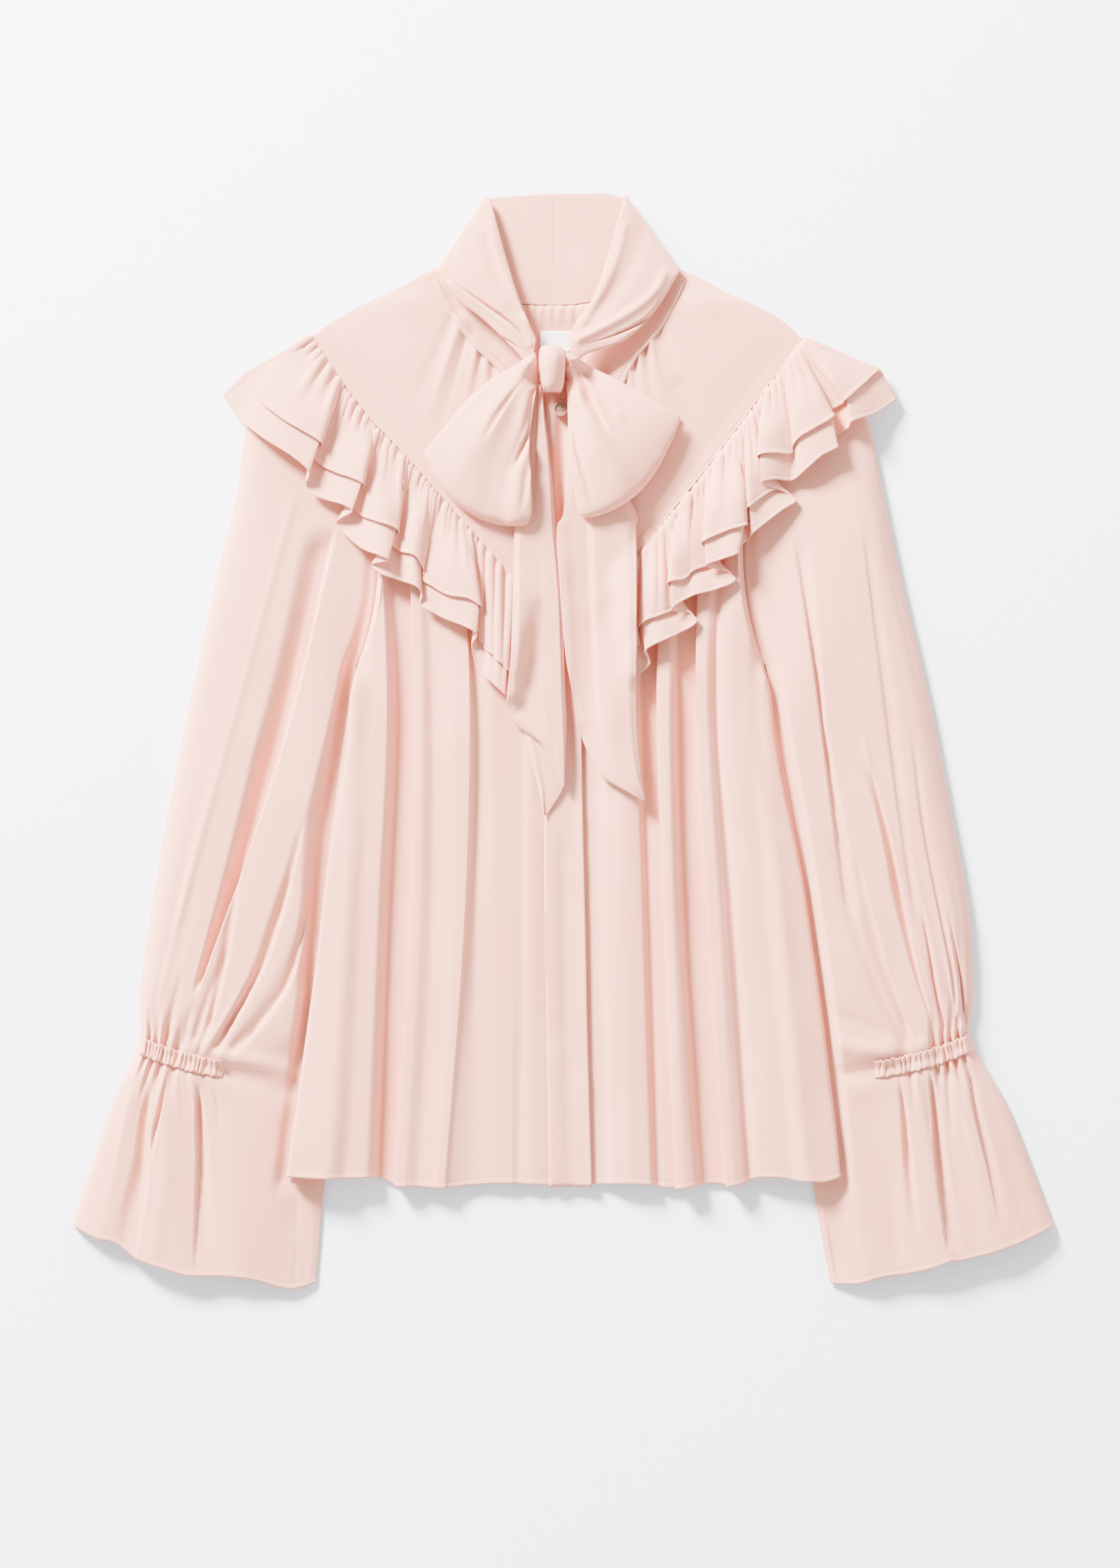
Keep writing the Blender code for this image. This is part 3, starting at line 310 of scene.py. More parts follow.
# Stations along each ruffle's hems, from the shoulder to the placket, a fold's edge where the
# hem turns back: x on the V seam, upper tier's hem x, y, lower tier's hem x, y, height
RUFFLE = {
    "left": [
        (-172.5, -219, 253, -234, 238, 1),
        (-169.5, -208, 234, -222, 221.5, 4),
        (-164, -191.5, 220, -204.5, 207, 6.5),
        (-157, -175.5, 210.5, -185.5, 195, 8.5),
        (-152.5, -166.5, 204, -173.5, 184, 9),
        (-150, -173.5, 196.5, -176, 176, 3.5),
        (-147, -166, 189, -172.5, 170, 2),
        (-141, -154.5, 183.5, -162, 165, 5),
        (-134.5, -144, 180, -151.5, 162, 8),
        (-130, -137.5, 175.5, -144, 157, 8.5),
        (-128, -146, 164.5, -155, 150.5, 3),
        (-125, -139, 155.5, -151, 143.5, 2),
        (-118.5, -128, 150.5, -138, 132, 6),
        (-111.5, -119, 147, -125, 126.5, 8.5),
        (-108, -114, 143, -119, 123, 8.5),
        (-105, -121, 136.5, -131, 120.5, 3),
        (-102, -114, 131, -123.5, 114, 2.5),
        (-97.5, -107, 128.5, -109, 109, 6),
        (-93.5, -102, 127, -100, 105.5, 8),
        (-90, -97.5, 119.5, -96, 100, 5.5),
        (-86.5, -96.5, 111, -97, 93, 2),
        (-81.5, -89, 105.5, -90, 88.5, 4),
        (-76, -77.5, 99.5, -79.5, 83, 6.5),
        (-70, -64, 97, -68, 78.5, 8.5),
        (-66, -57, 91, -58.5, 72.5, 9),
        (-62, -60.5, 80.5, -62, 64.5, 3),
        (-56.5, -55.5, 67.5, -57.5, 48.5, 2),
        (-47, -47, 58, -49, 40.5, 5.5),
        (-38, -39.5, 49.5, -40.5, 32.5, 6.5),
        (-24, -34.5, 42.5, -35, 27.5, 3),
    ],
    "right": [
        (166.5, 219.5, 256, 230.5, 235, 1),
        (166, 207.5, 245, 216, 225, 5),
        (165, 195.5, 234, 199.5, 219, 8.5),
        (164, 196.5, 233.5, 196.5, 214.5, 3.5),
        (163, 189, 229, 189.5, 210, 2),
        (162, 182, 225, 184.5, 205, 3.5),
        (161, 185, 221, 189, 201, 8.5),
        (158.5, 174.5, 214.5, 178, 195, 9),
        (156, 164, 208, 166.5, 185, 7.5),
        (153, 159, 200.5, 159, 179, 3.5),
        (149.5, 155.5, 196.5, 153.5, 178.5, 4.5),
        (144, 146, 197, 145, 179, 7.5),
        (139, 136, 195, 136.5, 176, 8.5),
        (137, 144, 182.5, 152.5, 171, 3),
        (134.5, 147, 174, 161, 165, 2),
        (131, 139, 168.5, 150.5, 157.5, 5),
        (127.5, 128.5, 160, 131.5, 142.5, 8),
        (125, 131.5, 153, 128, 138, 3),
        (123.5, 124, 150.5, 121, 132.5, 4),
        (121, 124.5, 147, 120.5, 128, 8.5),
        (112.5, 112.5, 143, 109.5, 124, 9),
        (103, 98, 136, 98.5, 119.5, 8.5),
        (99.5, 104, 127.5, 113.5, 116, 3),
        (96.5, 101, 120.5, 119, 109.5, 2),
        (91.5, 90.5, 116.5, 104, 103, 5),
        (86, 83, 110.5, 89, 99, 7.5),
        (78.5, 74.5, 108, 75, 89.5, 8.5),
        (75.5, 80.5, 98, 88, 87.5, 3),
        (72.5, 76.5, 90, 92.5, 81, 2),
        (67, 67, 85.5, 78.5, 72.5, 5.5),
        (59.5, 56.5, 81, 57.5, 62, 8),
        (52, 52.5, 71, 60.5, 53, 2.5),
        (40.5, 51, 63.5, 50.5, 43, 3),
    ],
}
UPPER_SHARE = 0.78  # the share of the way down the lower tier at which the upper tier ends
# Upper edge of the back yoke, from the left shoulder to the right: x, y
BACK_YOKE_TOP = [
    (-173.5, 279), (-149.5, 294), (-111.5, 312.5), (-84, 327), (-64, 314.5), (-33, 302), (-7, 300.5),
    (19, 302), (52, 314.5), (76, 326), (126, 302), (166.5, 277.5),
]
BACK_SEAM_Y = 178.0
BACK_HEM_Y = -301.0
# Yokes, from the V seam's end at the placket up to the neck: y, outer x, inner x
FRONT_YOKE = {
    "left": [
        (88.5, -14, -11.5), (112, -33.5, -12), (159.5, -75, -12.5), (194.5, -106, -13),
        (225, -134.5, -13.5), (248, -151.5, -33), (263, -162, -50), (278.5, -170.5, -64),
        (294, -149.5, -75.5), (310.5, -116.5, -86), (321, -96, -90.5),
    ],
    "right": [
        (86.5, 19, 16), (112, 39.5, 15), (145.5, 65.5, 14.5), (177.5, 91.5, 14),
        (214.5, 120, 14), (247.5, 144, 38), (263, 155.5, 50), (276.5, 164.5, 61.5),
        (294, 145, 73.5), (308.5, 113.5, 81), (319, 92.5, 86),
    ],
}
YOKE_CROWN = 4.0
# Neckbands between the yokes' neck seams and the collar: seam x, y, inner x, y
NECKBAND = {
    "left": [
        (-89.5, 318, -78.5, 322.5), (-83, 304, -70, 308.5), (-72.5, 288, -58.5, 295.5),
        (-59.5, 271.5, -44, 283), (-45, 258, -28.5, 270.5), (-34.5, 244, -19, 256),
    ],
    "right": [
        (85, 318, 71.5, 322.5), (77.5, 302, 63, 308.5), (68, 285, 52, 295.5),
        (58.5, 273.5, 40.5, 283), (49, 262, 25, 272.5), (40, 243, 14, 258.5),
    ],
}
# Sections of the collar from the left knot round the back to the right: upper x, y, lower x, y, height
COLLAR = [
    (-18, 275.5, -21.5, 253.5, 13), (-23, 287, -28.5, 264, 13.5), (-30, 304, -40.5, 276.5, 13),
    (-37.5, 328, -54.5, 290, 11.5), (-44, 351.5, -70, 302, 10.5), (-49, 370.5, -81, 316.5, 8.5),
    (-53, 375, -85, 324.5, 5.5), (-49.5, 374, -73.5, 318, 2.6), (-38, 375.5, -52, 308.5, 2.2),
    (-21.5, 376.5, -27.5, 301.5, 2.2), (-4.5, 377.5, -6, 300.5, 2.2), (14, 377.5, 15.5, 301.5, 2.2),
    (30, 377.5, 43, 309, 2.2), (40.5, 375, 68, 318, 2.6), (43.5, 376, 80.5, 324.5, 5.5),
    (42, 371.5, 77.5, 317.5, 8.5), (36.5, 351.5, 68.5, 302, 10.5), (30, 328, 55.5, 285.5, 11.5),
    (21.5, 304, 37.5, 272, 13), (9.5, 287, 15.5, 265, 13.5), (4.5, 274.5, 6.5, 254.5, 13),
]
# The placket, from the V down to the hem: y, left x, right x
PLACKET = [
    (244, -12.5, 11), (177.5, -12, 12.5), (82.5, -12, 13.5), (-12.5, -12.5, 13.5),
    (-126.5, -12, 16), (-202.5, -10.5, 17.5), (-307.5, -9, 20.5),
]
# Tails, a crisp fold inside the right one: y, left x, fold x, right x, rise left of the fold, right of it
TAIL = {
    "left": [
        (248, -19.5, -16, -13.5, 2, 2.5), (225, -22.5, -17, -12, 2, 3),
        (206, -24.5, -17, -9.5, 2.5, 3.5), (177.5, -29, -18, -6.5, 3.5, 4),
        (149, -32.5, -19, -4.5, 4, 4), (106.5, -33.5, -16.5, -0.5, 4.5, 4),
        (59, -35, -14.5, 1.5, 4.5, 4.5), (28, -38, -14, 2.5, 4.5, 5),
        (18, -37.5, -13, 3, 4.5, 5.5), (8, -28, -11, 3, 5, 6),
        (-3, -14, -5.5, 2.5, 5.5, 6), (-17, -6.5, -2.5, 2, 5, 5.5),
        (-32, 0, 0.5, 1.5, 3, 3),
    ],
    "right": [
        (248, 6.5, 10, 13, 1, 1.5), (206, 5.5, 14.5, 25, 1.5, 2),
        (158.5, 1.5, 18.5, 50, 1.5, 4), (144.5, -3.5, 19.5, 51, 1.5, 4.5),
        (106.5, -1.5, 20.5, 51, 1.5, 5), (59, 2.5, 22.5, 51, 2, 5),
        (30.5, 8, 24, 51, 2.5, 4.5), (5.5, 12.5, 27, 51.5, 3.5, 4.5),
        (-12.5, 20, 33, 53, 4, 4.5), (-25.5, 28, 39, 54.5, 4, 4.5),
        (-35, 44, 50, 56, 3.5, 4), (-41, 55, 56, 57, 2.5, 2.5),
    ],
}
# The left tail's end folded back under it: y, left x, right x
TAIL_FLAP = [(11.5, -27.5, 0.5), (-12.5, -21.5, 1.5), (-32.0, -16.5, 1.0), (-51.5, -12.5, -11.0)]
# Bow loops, from the knot to their ends: upper edge x, y, lower edge x, y, height of the upper layer
LOOP = {
    "left": [
        (-18.5, 266, -15.5, 250, 5), (-30, 259, -18, 239.5, 9), (-48.5, 248.5, -20.5, 223.5, 12),
        (-66, 233, -22.5, 204, 14), (-81.5, 214, -21.5, 181.5, 13.5),
        (-94, 199, -20.5, 157.5, 10), (-92, 192, -24, 148, 5),
    ],
    "right": [
        (3, 266.5, 2, 250, 5), (15.5, 259.5, 3.5, 238.5, 9), (37, 248.5, 4, 221.5, 12),
        (58.5, 236, 5, 199.5, 14), (73.5, 227.5, 7.5, 176.5, 13.5),
        (81, 222, 11.5, 157.5, 10), (78.5, 215.5, 15.5, 153, 5),
    ],
}
LOOP_END = 15.0  # how far a loop's end swells past its corners
# Creases pressed into the bow: x, y at start, middle and end, half width, rise at start and end
LOOP_CREASE = {
    "left": [
        (-18.5, 237, -25, 213.5, -36.5, 185, 3.6, -4.5, -1),
        (-22.5, 206, -23, 182.5, -22.5, 163.5, 3, 1.8, 0.6),
        (-24, 250, -47, 219.5, -73.5, 182.5, 8, 1.6, 0.8),
        (-22.5, 244, -42.5, 201.5, -52, 161, 7, -1.6, -0.8),
        (-32, 253, -57.5, 230, -80.5, 201.5, 5, -1.2, -0.4),
    ],
    "right": [
        (3, 261, 14.5, 249.5, 33.5, 228, 3.4, -5, -1.5),
        (2.5, 250, 15.5, 233.5, 28, 214.5, 4, -2.2, -0.5),
        (5, 255.5, 20.5, 241.5, 40.5, 222.5, 3, 2.5, 0.8),
        (7, 244, 31, 206, 52.5, 175, 9, 1.6, 0.8),
        (4.5, 230, 14.5, 189, 27, 157.5, 7, -1.6, -0.8),
        (21.5, 250, 45, 225, 64, 201.5, 7, -1, -0.4),
    ],
}
# Folds of the loops with one crisp edge, in the columns of TUCK
LOOP_TUCK = {
    "left": [
        (-19, 244, -23.5, 213.5, -29, 200.5, -36.5, 182.5, 1, 5, 8, 5, 2.5, 5.5, 1),
        (-24, 250, -34.5, 234.5, -44, 219.5, -54.5, 201.5, -1, 4, 7, 6, 2, 2, 0.3),
        (-20.5, 206, -21.5, 187, -23.5, 170.5, -27, 154, -1, 4, 7, 5, 1, 2.4, 1),
    ],
    "right": [
        (4.5, 259.5, 16.5, 246, 25, 228, 35.5, 206, -1, 6, 10, 6, 4.5, 7, 0.8),
        (11, 256.5, 24, 244, 38.5, 230, 54.5, 213, -1, 3, 5, 3, 2.5, 2, 0.3),
        (4.5, 225, 8, 201.5, 14, 177.5, 20.5, 156.5, 1, 4, 7, 6, 1.5, 2.2, 0.8),
    ],
}
# Gathers of the back yoke below the collar, in the columns of SLEEVE_CREASE: troughs, then ridges
BACK_GATHERS = [
    (-24, 299, -24, 294, -24.5, 285, 1.3, -1.5, -0.2),
    (-18, 299, -18, 294, -17.5, 283, 1.2, -1.3, -0.2),
    (-12, 299, -12, 295.5, -11.5, 287, 1.3, -1.5, -0.2),
    (-5, 299, -5, 296.5, -5, 290, 1.2, -1.5, -0.2),
    (2.5, 299, 2.5, 295.5, 2, 287, 1.3, -1.5, -0.2),
    (9.5, 299, 9.5, 294, 10, 284, 1.2, -1.3, -0.2),
] + [(x, 299, x, 294, x, 287, 1.3, 0.9, 0.1) for x in (-21, -14.5, -8.5, -1.5, 6)]
# Creases that run down from the neck, in the columns of SLEEVE_CREASE
NECK_CREASE = {
    "left": [
        (-71.5, 286, -81, 256, -91.5, 225, 3, 1.6, 0.3),
        (-66, 278.5, -73.5, 251.5, -83, 220.5, 2, -1.2, -0.2),
        (-59.5, 271, -63, 251.5, -68, 230, 2.2, 1.3, 0.2),
        (-55.5, 268, -58.5, 251.5, -61.5, 234.5, 1.6, -1.2, -0.1),
        (-52, 263.5, -52.5, 251.5, -53, 237, 1.8, 1.2, 0.1),
        (-47.5, 260, -48, 246.5, -49, 230, 1.6, -1.2, -0.2),
        (-43, 256, -43.5, 244, -44, 230, 1.8, 1.2, 0.2),
        (-38.5, 252, -37.5, 242, -36.5, 230, 1.6, -1, -0.2),
        (-76, 290.5, -88, 263, -102, 234.5, 4, -0.8, -0.2),
    ],
    "right": [
        (61, 276.5, 65, 253.5, 71, 230, 2.6, 1.6, 0.3),
        (57, 271, 60.5, 251.5, 64, 230, 1.8, -1.3, -0.2),
        (53.5, 267, 55.5, 251.5, 57.5, 234.5, 1.8, 1.3, 0.1),
        (50, 262, 51.5, 250, 52.5, 237, 1.6, -1.2, -0.2),
        (46, 258.5, 46.5, 248, 47, 237, 1.6, 1.2, 0.1),
        (43, 253.5, 43, 246, 42.5, 237, 1.6, -1.1, -0.1),
        (66.5, 283, 76, 258.5, 88, 230, 4, -1, -0.2),
        (81, 244, 90, 220.5, 97.5, 201.5, 6, -1, -0.4),
    ],
}
# Folds of the collar's drape, in the columns of SLEEVE_CREASE and then of TUCK
COLLAR_CREASE = [
    (-76, 314.5, -52, 296.5, -22.5, 271.5, 2.2, 1.4, 1.8),
    (-49, 353.5, -37.5, 315.5, -21.5, 287, 2.4, 0.8, 1.8),
    (-52, 344, -45, 320, -28, 294, 4, -1, -2),
    (-71.5, 336.5, -59.5, 320, -40.5, 301, 5, 1.2, 1),
    (70, 320, 53.5, 299, 12, 275.5, 3, 1.8, 2.2),
    (56.5, 357, 43, 320, 20.5, 292.5, 6, -1, -1.6),
    (43, 353.5, 33, 320, 14.5, 287, 3, 1.2, 1.4),
]
COLLAR_TUCK = [
    (-88, 325, -59, 305, -33, 286, -17.5, 266, -1, 4, 6, 4, 2, 4.2, 4),
    (-74.5, 309.5, -54.5, 287, -37, 275.5, -19.5, 264, -1, 3, 5, 3, 2, 3, 3),
    (-61.5, 307, -44, 296.5, -33, 286, -20.5, 274.5, -1, 2, 2.5, 2, 0.8, 1.6, 1.5),
    (70, 309, 56.5, 290.5, 35.5, 279, 11, 270.5, 1, 5, 7, 5, 1.5, 3.2, 3.2),
    (54.5, 283, 43, 275.5, 30, 271, 12, 266.5, 1, 3, 4, 3, 1, 2.5, 2.5),
]
# The knot from top to bottom: y, middle x, half width, height
KNOT = [
    (271, -7.5, 5.6, 19.5), (269, -7.5, 8, 22.5), (264, -7, 9.3, 25), (257.5, -7, 9.2, 26),
    (250, -6.5, 8.4, 25), (243, -6, 7.2, 22.5), (239, -5.5, 4.8, 18.5),
]
KNOT_BOTTOM = 4.5
LABEL = (-15.0, 268.5, 6.5, 282.5)  # left x, lower y, right x, upper y


def ease(t):
    """From 0 to 1 with a soft start and end."""
    t = np.clip(t, 0.0, 1.0)
    return t * t * (3 - 2 * t)


def mix(a, b, t):
    return a + (b - a) * t


def curve(a, b, slope_a, slope_b, t):
    """A smooth way from a to b with these slopes at its ends."""
    return (
        a * (2 * t**3 - 3 * t**2 + 1) + slope_a * (t**3 - 2 * t**2 + t)
        + b * (3 * t**2 - 2 * t**3) + slope_b * (t**3 - t**2)
    )


def read(rows, at):
    """The columns after the first of a table, at values of its first column, along smooth curves."""
    table = np.array(sorted(rows), float)
    xs, ys = table[:, 0], table[:, 1:]
    slopes = np.empty_like(ys)
    slopes[1:-1] = (ys[2:] - ys[:-2]) / (xs[2:] - xs[:-2])[:, None]
    slopes[0] = (ys[1] - ys[0]) / (xs[1] - xs[0])
    slopes[-1] = (ys[-1] - ys[-2]) / (xs[-1] - xs[-2])
    at = np.clip(np.asarray(at, float), xs[0], xs[-1])
    i = np.clip(np.searchsorted(xs, at, side="left"), 1, len(xs) - 1)
    span = xs[i] - xs[i - 1]
    t = ((at - xs[i - 1]) / span)[..., None]
    span = span[..., None]
    values = curve(ys[i - 1], ys[i], slopes[i - 1] * span, slopes[i] * span, t)
    return [values[..., k] for k in range(values.shape[-1])]


def along(rows, share):
    """The columns of a table at a share of the way down its rows."""
    return read([(i, *row) for i, row in enumerate(rows)], np.asarray(share) * (len(rows) - 1))


def glide(values, at):
    """Values read along their last axis without overshoot, so that a crisp fold stays crisp."""
    n = values.shape[-1]
    at = np.clip(at, 0, n - 1)
    i = np.clip(np.floor(at).astype(int), 0, n - 2)
    t = at - i
    rise = np.diff(values, axis=-1)
    before, after = rise[..., :-1], rise[..., 1:]
    same = before * after > 0
    slopes = np.zeros_like(values)
    slopes[..., 1:-1] = np.where(same, 2 * before * after / np.where(same, before + after, 1.0), 0.0)
    slopes[..., 0], slopes[..., -1] = rise[..., 0], rise[..., -1]
    return curve(values[..., i], values[..., i + 1], slopes[..., i], slopes[..., i + 1], t)


def outward(side):
    """The sign of x away from the middle."""
    return -1.0 if side == "left" else 1.0


def sleeve_point(side, down, across):
    """x, y at shares of the way down a sleeve and across it from its inner edge."""
    row = along(SLEEVE[side], down)
    near, mid, far = (1 - across) * (1 - 2 * across), 4 * across * (1 - across), across * (2 * across - 1)
    return near * row[0] + mid * row[2] + far * row[4], near * row[1] + mid * row[3] + far * row[5]


# Each armhole, from the underarm to the shoulder: y, x
ARMHOLE = {}
for hand in SIDES:
    arm_x, arm_y = sleeve_point(hand, np.zeros(41), np.linspace(0, 1, 41))
    ARMHOLE[hand] = list(zip(arm_y, arm_x))


def body_edge(side, y):
    """x of the body's edge: the side seam, and above the underarm the armhole."""
    y = np.asarray(y, float)
    return np.where(y <= SLEEVE[side][0][1], read(SIDE_SEAM[side], y)[0], read(ARMHOLE[side], y)[0])


def inner_edge(side, y):
    """x of a sleeve's inner edge."""
    return read([(row[1], row[0]) for row in SLEEVE[side]], y)[0]


trees = {}


def surface_of(mesh):
    return BVHTree.FromPolygons([v.co for v in mesh.vertices], [tuple(p.vertices) for p in mesh.polygons])


def tree(name):
    """The surface to lay other pieces on: a piece's shell, or its solid before there is a shell."""
    if name not in trees:
        trees[name] = surface_of(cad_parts[name].data)
    return trees[name]


RAY_START = 0.2  # metres above the floor, over everything


def bed(x, y, reach, under, floor=0.0):
    """The height to lie at: over the highest point within reach of the named pieces."""
    top = floor
    # Eight rays half way out, eight at the reach and one in the middle
    for i in range(17):
        angle = i * math.pi / 4
        far = 0.0 if i == 16 else reach * (0.5 if i < 8 else 1.0)
        east = x - MIDDLE[0] + far * math.cos(angle)
        north = y - MIDDLE[1] + far * math.sin(angle)
        start = Vector((east * MM, north * MM, RAY_START))
        for name in under:
            hit = tree(name).ray_cast(start, Vector((0, 0, -1)))[0]
            if hit is not None:
                top = max(top, hit.z / MM + GAP)
    return top


def ground(names, reach, floor):
    """A smooth height to lie at, as a function of x and y: over all that is within reach of it."""
    step = 3.0
    xs, ys = np.arange(-348.0, 351.0, step), np.arange(-390.0, 390.0, step)  # over all the tables
    heights = np.full((len(ys), len(xs)), float(floor))
    down = Vector((0, 0, -1))
    for name in names:
        box = np.array([v.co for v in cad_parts[name].data.vertices]) / MM
        low, high = box.min(axis=0) + (*MIDDLE, 0) - 6.0, box.max(axis=0) + (*MIDDLE, 0) + 6.0
        below = tree(name)
        for j in np.flatnonzero((ys >= low[1]) & (ys <= high[1])):
            for i in np.flatnonzero((xs >= low[0]) & (xs <= high[0])):
                start = Vector(((xs[i] - MIDDLE[0]) * MM, (ys[j] - MIDDLE[1]) * MM, RAY_START))
                hit = below.ray_cast(start, down)[0]
                if hit is not None:
                    heights[j, i] = max(heights[j, i], hit.z / MM + GAP)
    cells = int(math.ceil(reach / step))
    disc = [
        (i, j) for i in range(-cells, cells + 1) for j in range(-cells, cells + 1)
        if math.hypot(i, j) * step <= reach + 0.1
    ]

    def shifted(field):
        padded = np.pad(field, cells, mode="edge")
        high, wide = field.shape
        return [padded[cells + j:cells + j + high, cells + i:cells + i + wide] for i, j in disc]

    soft = np.mean(shifted(np.max(shifted(heights), axis=0)), axis=0)

    def height(x, y):
        i = np.clip((np.asarray(x, float) - xs[0]) / step, 0, len(xs) - 1.001)
        j = np.clip((np.asarray(y, float) - ys[0]) / step, 0, len(ys) - 1.001)
        i0, j0 = np.floor(i).astype(int), np.floor(j).astype(int)
        near = mix(soft[j0, i0], soft[j0, i0 + 1], i - i0)
        return mix(near, mix(soft[j0 + 1, i0], soft[j0 + 1, i0 + 1], i - i0), j - j0)

    return height


def net(columns, rows, place):
    """A coarse net of points: place(u, v) at each, as an array of rows by columns by 3."""
    return np.array([
        [place(i / columns, j / rows) for i in range(columns + 1)] for j in range(rows + 1)
    ], float)


def fine(points, us, vs):
    """A net's smooth surface at shares us along its rows and vs along its columns."""
    def spline(values, at, axis):
        values = np.moveaxis(values, axis, 0)
        n = len(values) - 1
        at = np.clip(at, 0, 1) * n
        i = np.clip(np.floor(at).astype(int), 0, n - 1)
        t = (at - i).reshape((-1,) + (1,) * (values.ndim - 1))
        a, b = values[i], values[i + 1]
        starts, ends = (i == 0).reshape(t.shape), (i == n - 1).reshape(t.shape)
        before = np.where(starts, 2 * a - b, values[np.maximum(i - 1, 0)])
        after = np.where(ends, 2 * b - a, values[np.minimum(i + 2, n)])
        result = 0.5 * (
            2 * a + (b - before) * t + (2 * before - 5 * a + 4 * b - after) * t**2
            + (3 * a - before - 3 * b + after) * t**3
        )
        return np.moveaxis(result, 0, axis)

    return spline(spline(points, us, 1), vs, 0)


def evenly(columns):
    """Shares from 0 to 1 in this many equal steps."""
    return np.linspace(0, 1, columns + 1)


def normals(points):
    """Upward normals of a fine net."""
    across = np.gradient(points, axis=1)
    down = np.gradient(points, axis=0)
    n = np.cross(across, down)
    n /= np.linalg.norm(n, axis=2, keepdims=True) + 1e-12
    return n * np.sign(n[..., 2:].mean() + 1e-12)


def to_hem(rows, near, share=0.05):
    """Shares of the way down a piece, closer together by its hem."""
    return np.concatenate([np.linspace(0, 1 - share, rows), np.linspace(1 - share, 1, near + 1)[1:]])


def hemmed(points, width=3.4):
    """A narrow hem turned under and stitched: a thicker edge with a groove beside it."""
    steps = np.linalg.norm(np.diff(points, axis=0), axis=2)
    from_hem = np.concatenate([np.cumsum(steps[::-1], axis=0)[::-1], np.zeros((1, points.shape[1]))])
    relief = 0.25 * ease((width + 0.3 - from_hem) / 0.6) - 0.3 * np.exp(-(((from_hem - width) / 0.5) ** 2))
    return points + normals(points) * relief[..., None]


def noise(x, y, size, seed):
    """Smooth hills from -1 to 1, about size apart."""
    chance = np.random.default_rng(seed)
    total = np.zeros_like(x)
    for _ in range(9):
        angle, phase = chance.uniform(0, 2 * math.pi, 2)
        wave = chance.uniform(0.6, 1.5) * 2 * math.pi / size
        total += np.sin((x * math.cos(angle) + y * math.sin(angle)) * wave + phase)
    return total / 4.5


def creases(x, y, rows):
    """Soft ridges and troughs along curves: x, y of three points, half width, rise at start, at end."""
    relief = np.zeros_like(x)
    for x0, y0, x1, y1, x2, y2, width, start, end in rows:
        reach = 3 * width
        near = (
            (x > min(x0, x1, x2) - reach) & (x < max(x0, x1, x2) + reach)
            & (y > min(y0, y1, y2) - reach) & (y < max(y0, y1, y2) + reach)
        )
        if not near.any():
            continue
        px, py = x[near], y[near]
        t = np.linspace(0, 1, 25)
        bx, by = 2 * x1 - (x0 + x2) / 2, 2 * y1 - (y0 + y2) / 2
        cx = (1 - t) ** 2 * x0 + 2 * t * (1 - t) * bx + t**2 * x2
        cy = (1 - t) ** 2 * y0 + 2 * t * (1 - t) * by + t**2 * y2
        best, place = np.full(px.shape, 1e9), np.zeros(px.shape)
        for k in range(24):
            dx, dy = cx[k + 1] - cx[k], cy[k + 1] - cy[k]
            s = np.clip(((px - cx[k]) * dx + (py - cy[k]) * dy) / (dx * dx + dy * dy + 1e-9), 0, 1)
            d = np.hypot(px - cx[k] - s * dx, py - cy[k] - s * dy)
            closer = d < best
            best = np.where(closer, d, best)
            place = np.where(closer, (k + s) / 24, place)
        relief[near] += mix(start, end, place) * np.exp(-((best / width) ** 2))
    return relief


def tucks(x, y, rows):
    """The hollows beside crisp folds, in the columns of TUCK."""
    total = np.zeros_like(x)
    for row in rows:
        edge, toward = [(row[i + 1], row[i]) for i in (0, 2, 4, 6)], row[8]
        top, bottom = row[1], row[7]
        t = np.clip((top - y) / (top - bottom), 0, 1)
        edge_x = read(sorted(edge), y)[0]
        wide = np.interp(t, (0, 0.5, 1), row[9:12])
        deep = np.minimum(np.interp(t, (0, 0.5, 1), row[12:15]), 0.75 * wide)
        into = (x - edge_x) * toward
        hollow = ease((into + 0.3) / 1.2) * (1 - ease((into - 0.3 * wide) / (0.7 * wide)))
        ends = ease((top - y) / 22.0) * ease((y - bottom) / 12.0)
        total -= deep * hollow * ends
    return total


def grid(points):
    """A mesh of a fine net, in metres, in the model's frame."""
    rows, columns = points.shape[0] - 1, points.shape[1] - 1
    bm = bmesh.new()
    bmesh.ops.create_grid(bm, x_segments=columns, y_segments=rows, size=0.5)
    mesh = bpy.data.meshes.new("net")
    bm.to_mesh(mesh)
    bm.free()
    flat = np.empty(len(mesh.vertices) * 3)
    mesh.vertices.foreach_get("co", flat)
    flat = flat.reshape(-1, 3)
    i = np.rint((flat[:, 0] + 0.5) * columns).astype(int)
    j = np.rint((flat[:, 1] + 0.5) * rows).astype(int)
    spots = (points[j, i] - np.array([MIDDLE[0], MIDDLE[1], 0.0])) * MM
    mesh.vertices.foreach_set("co", spots.ravel())
    mesh.update()
    return mesh


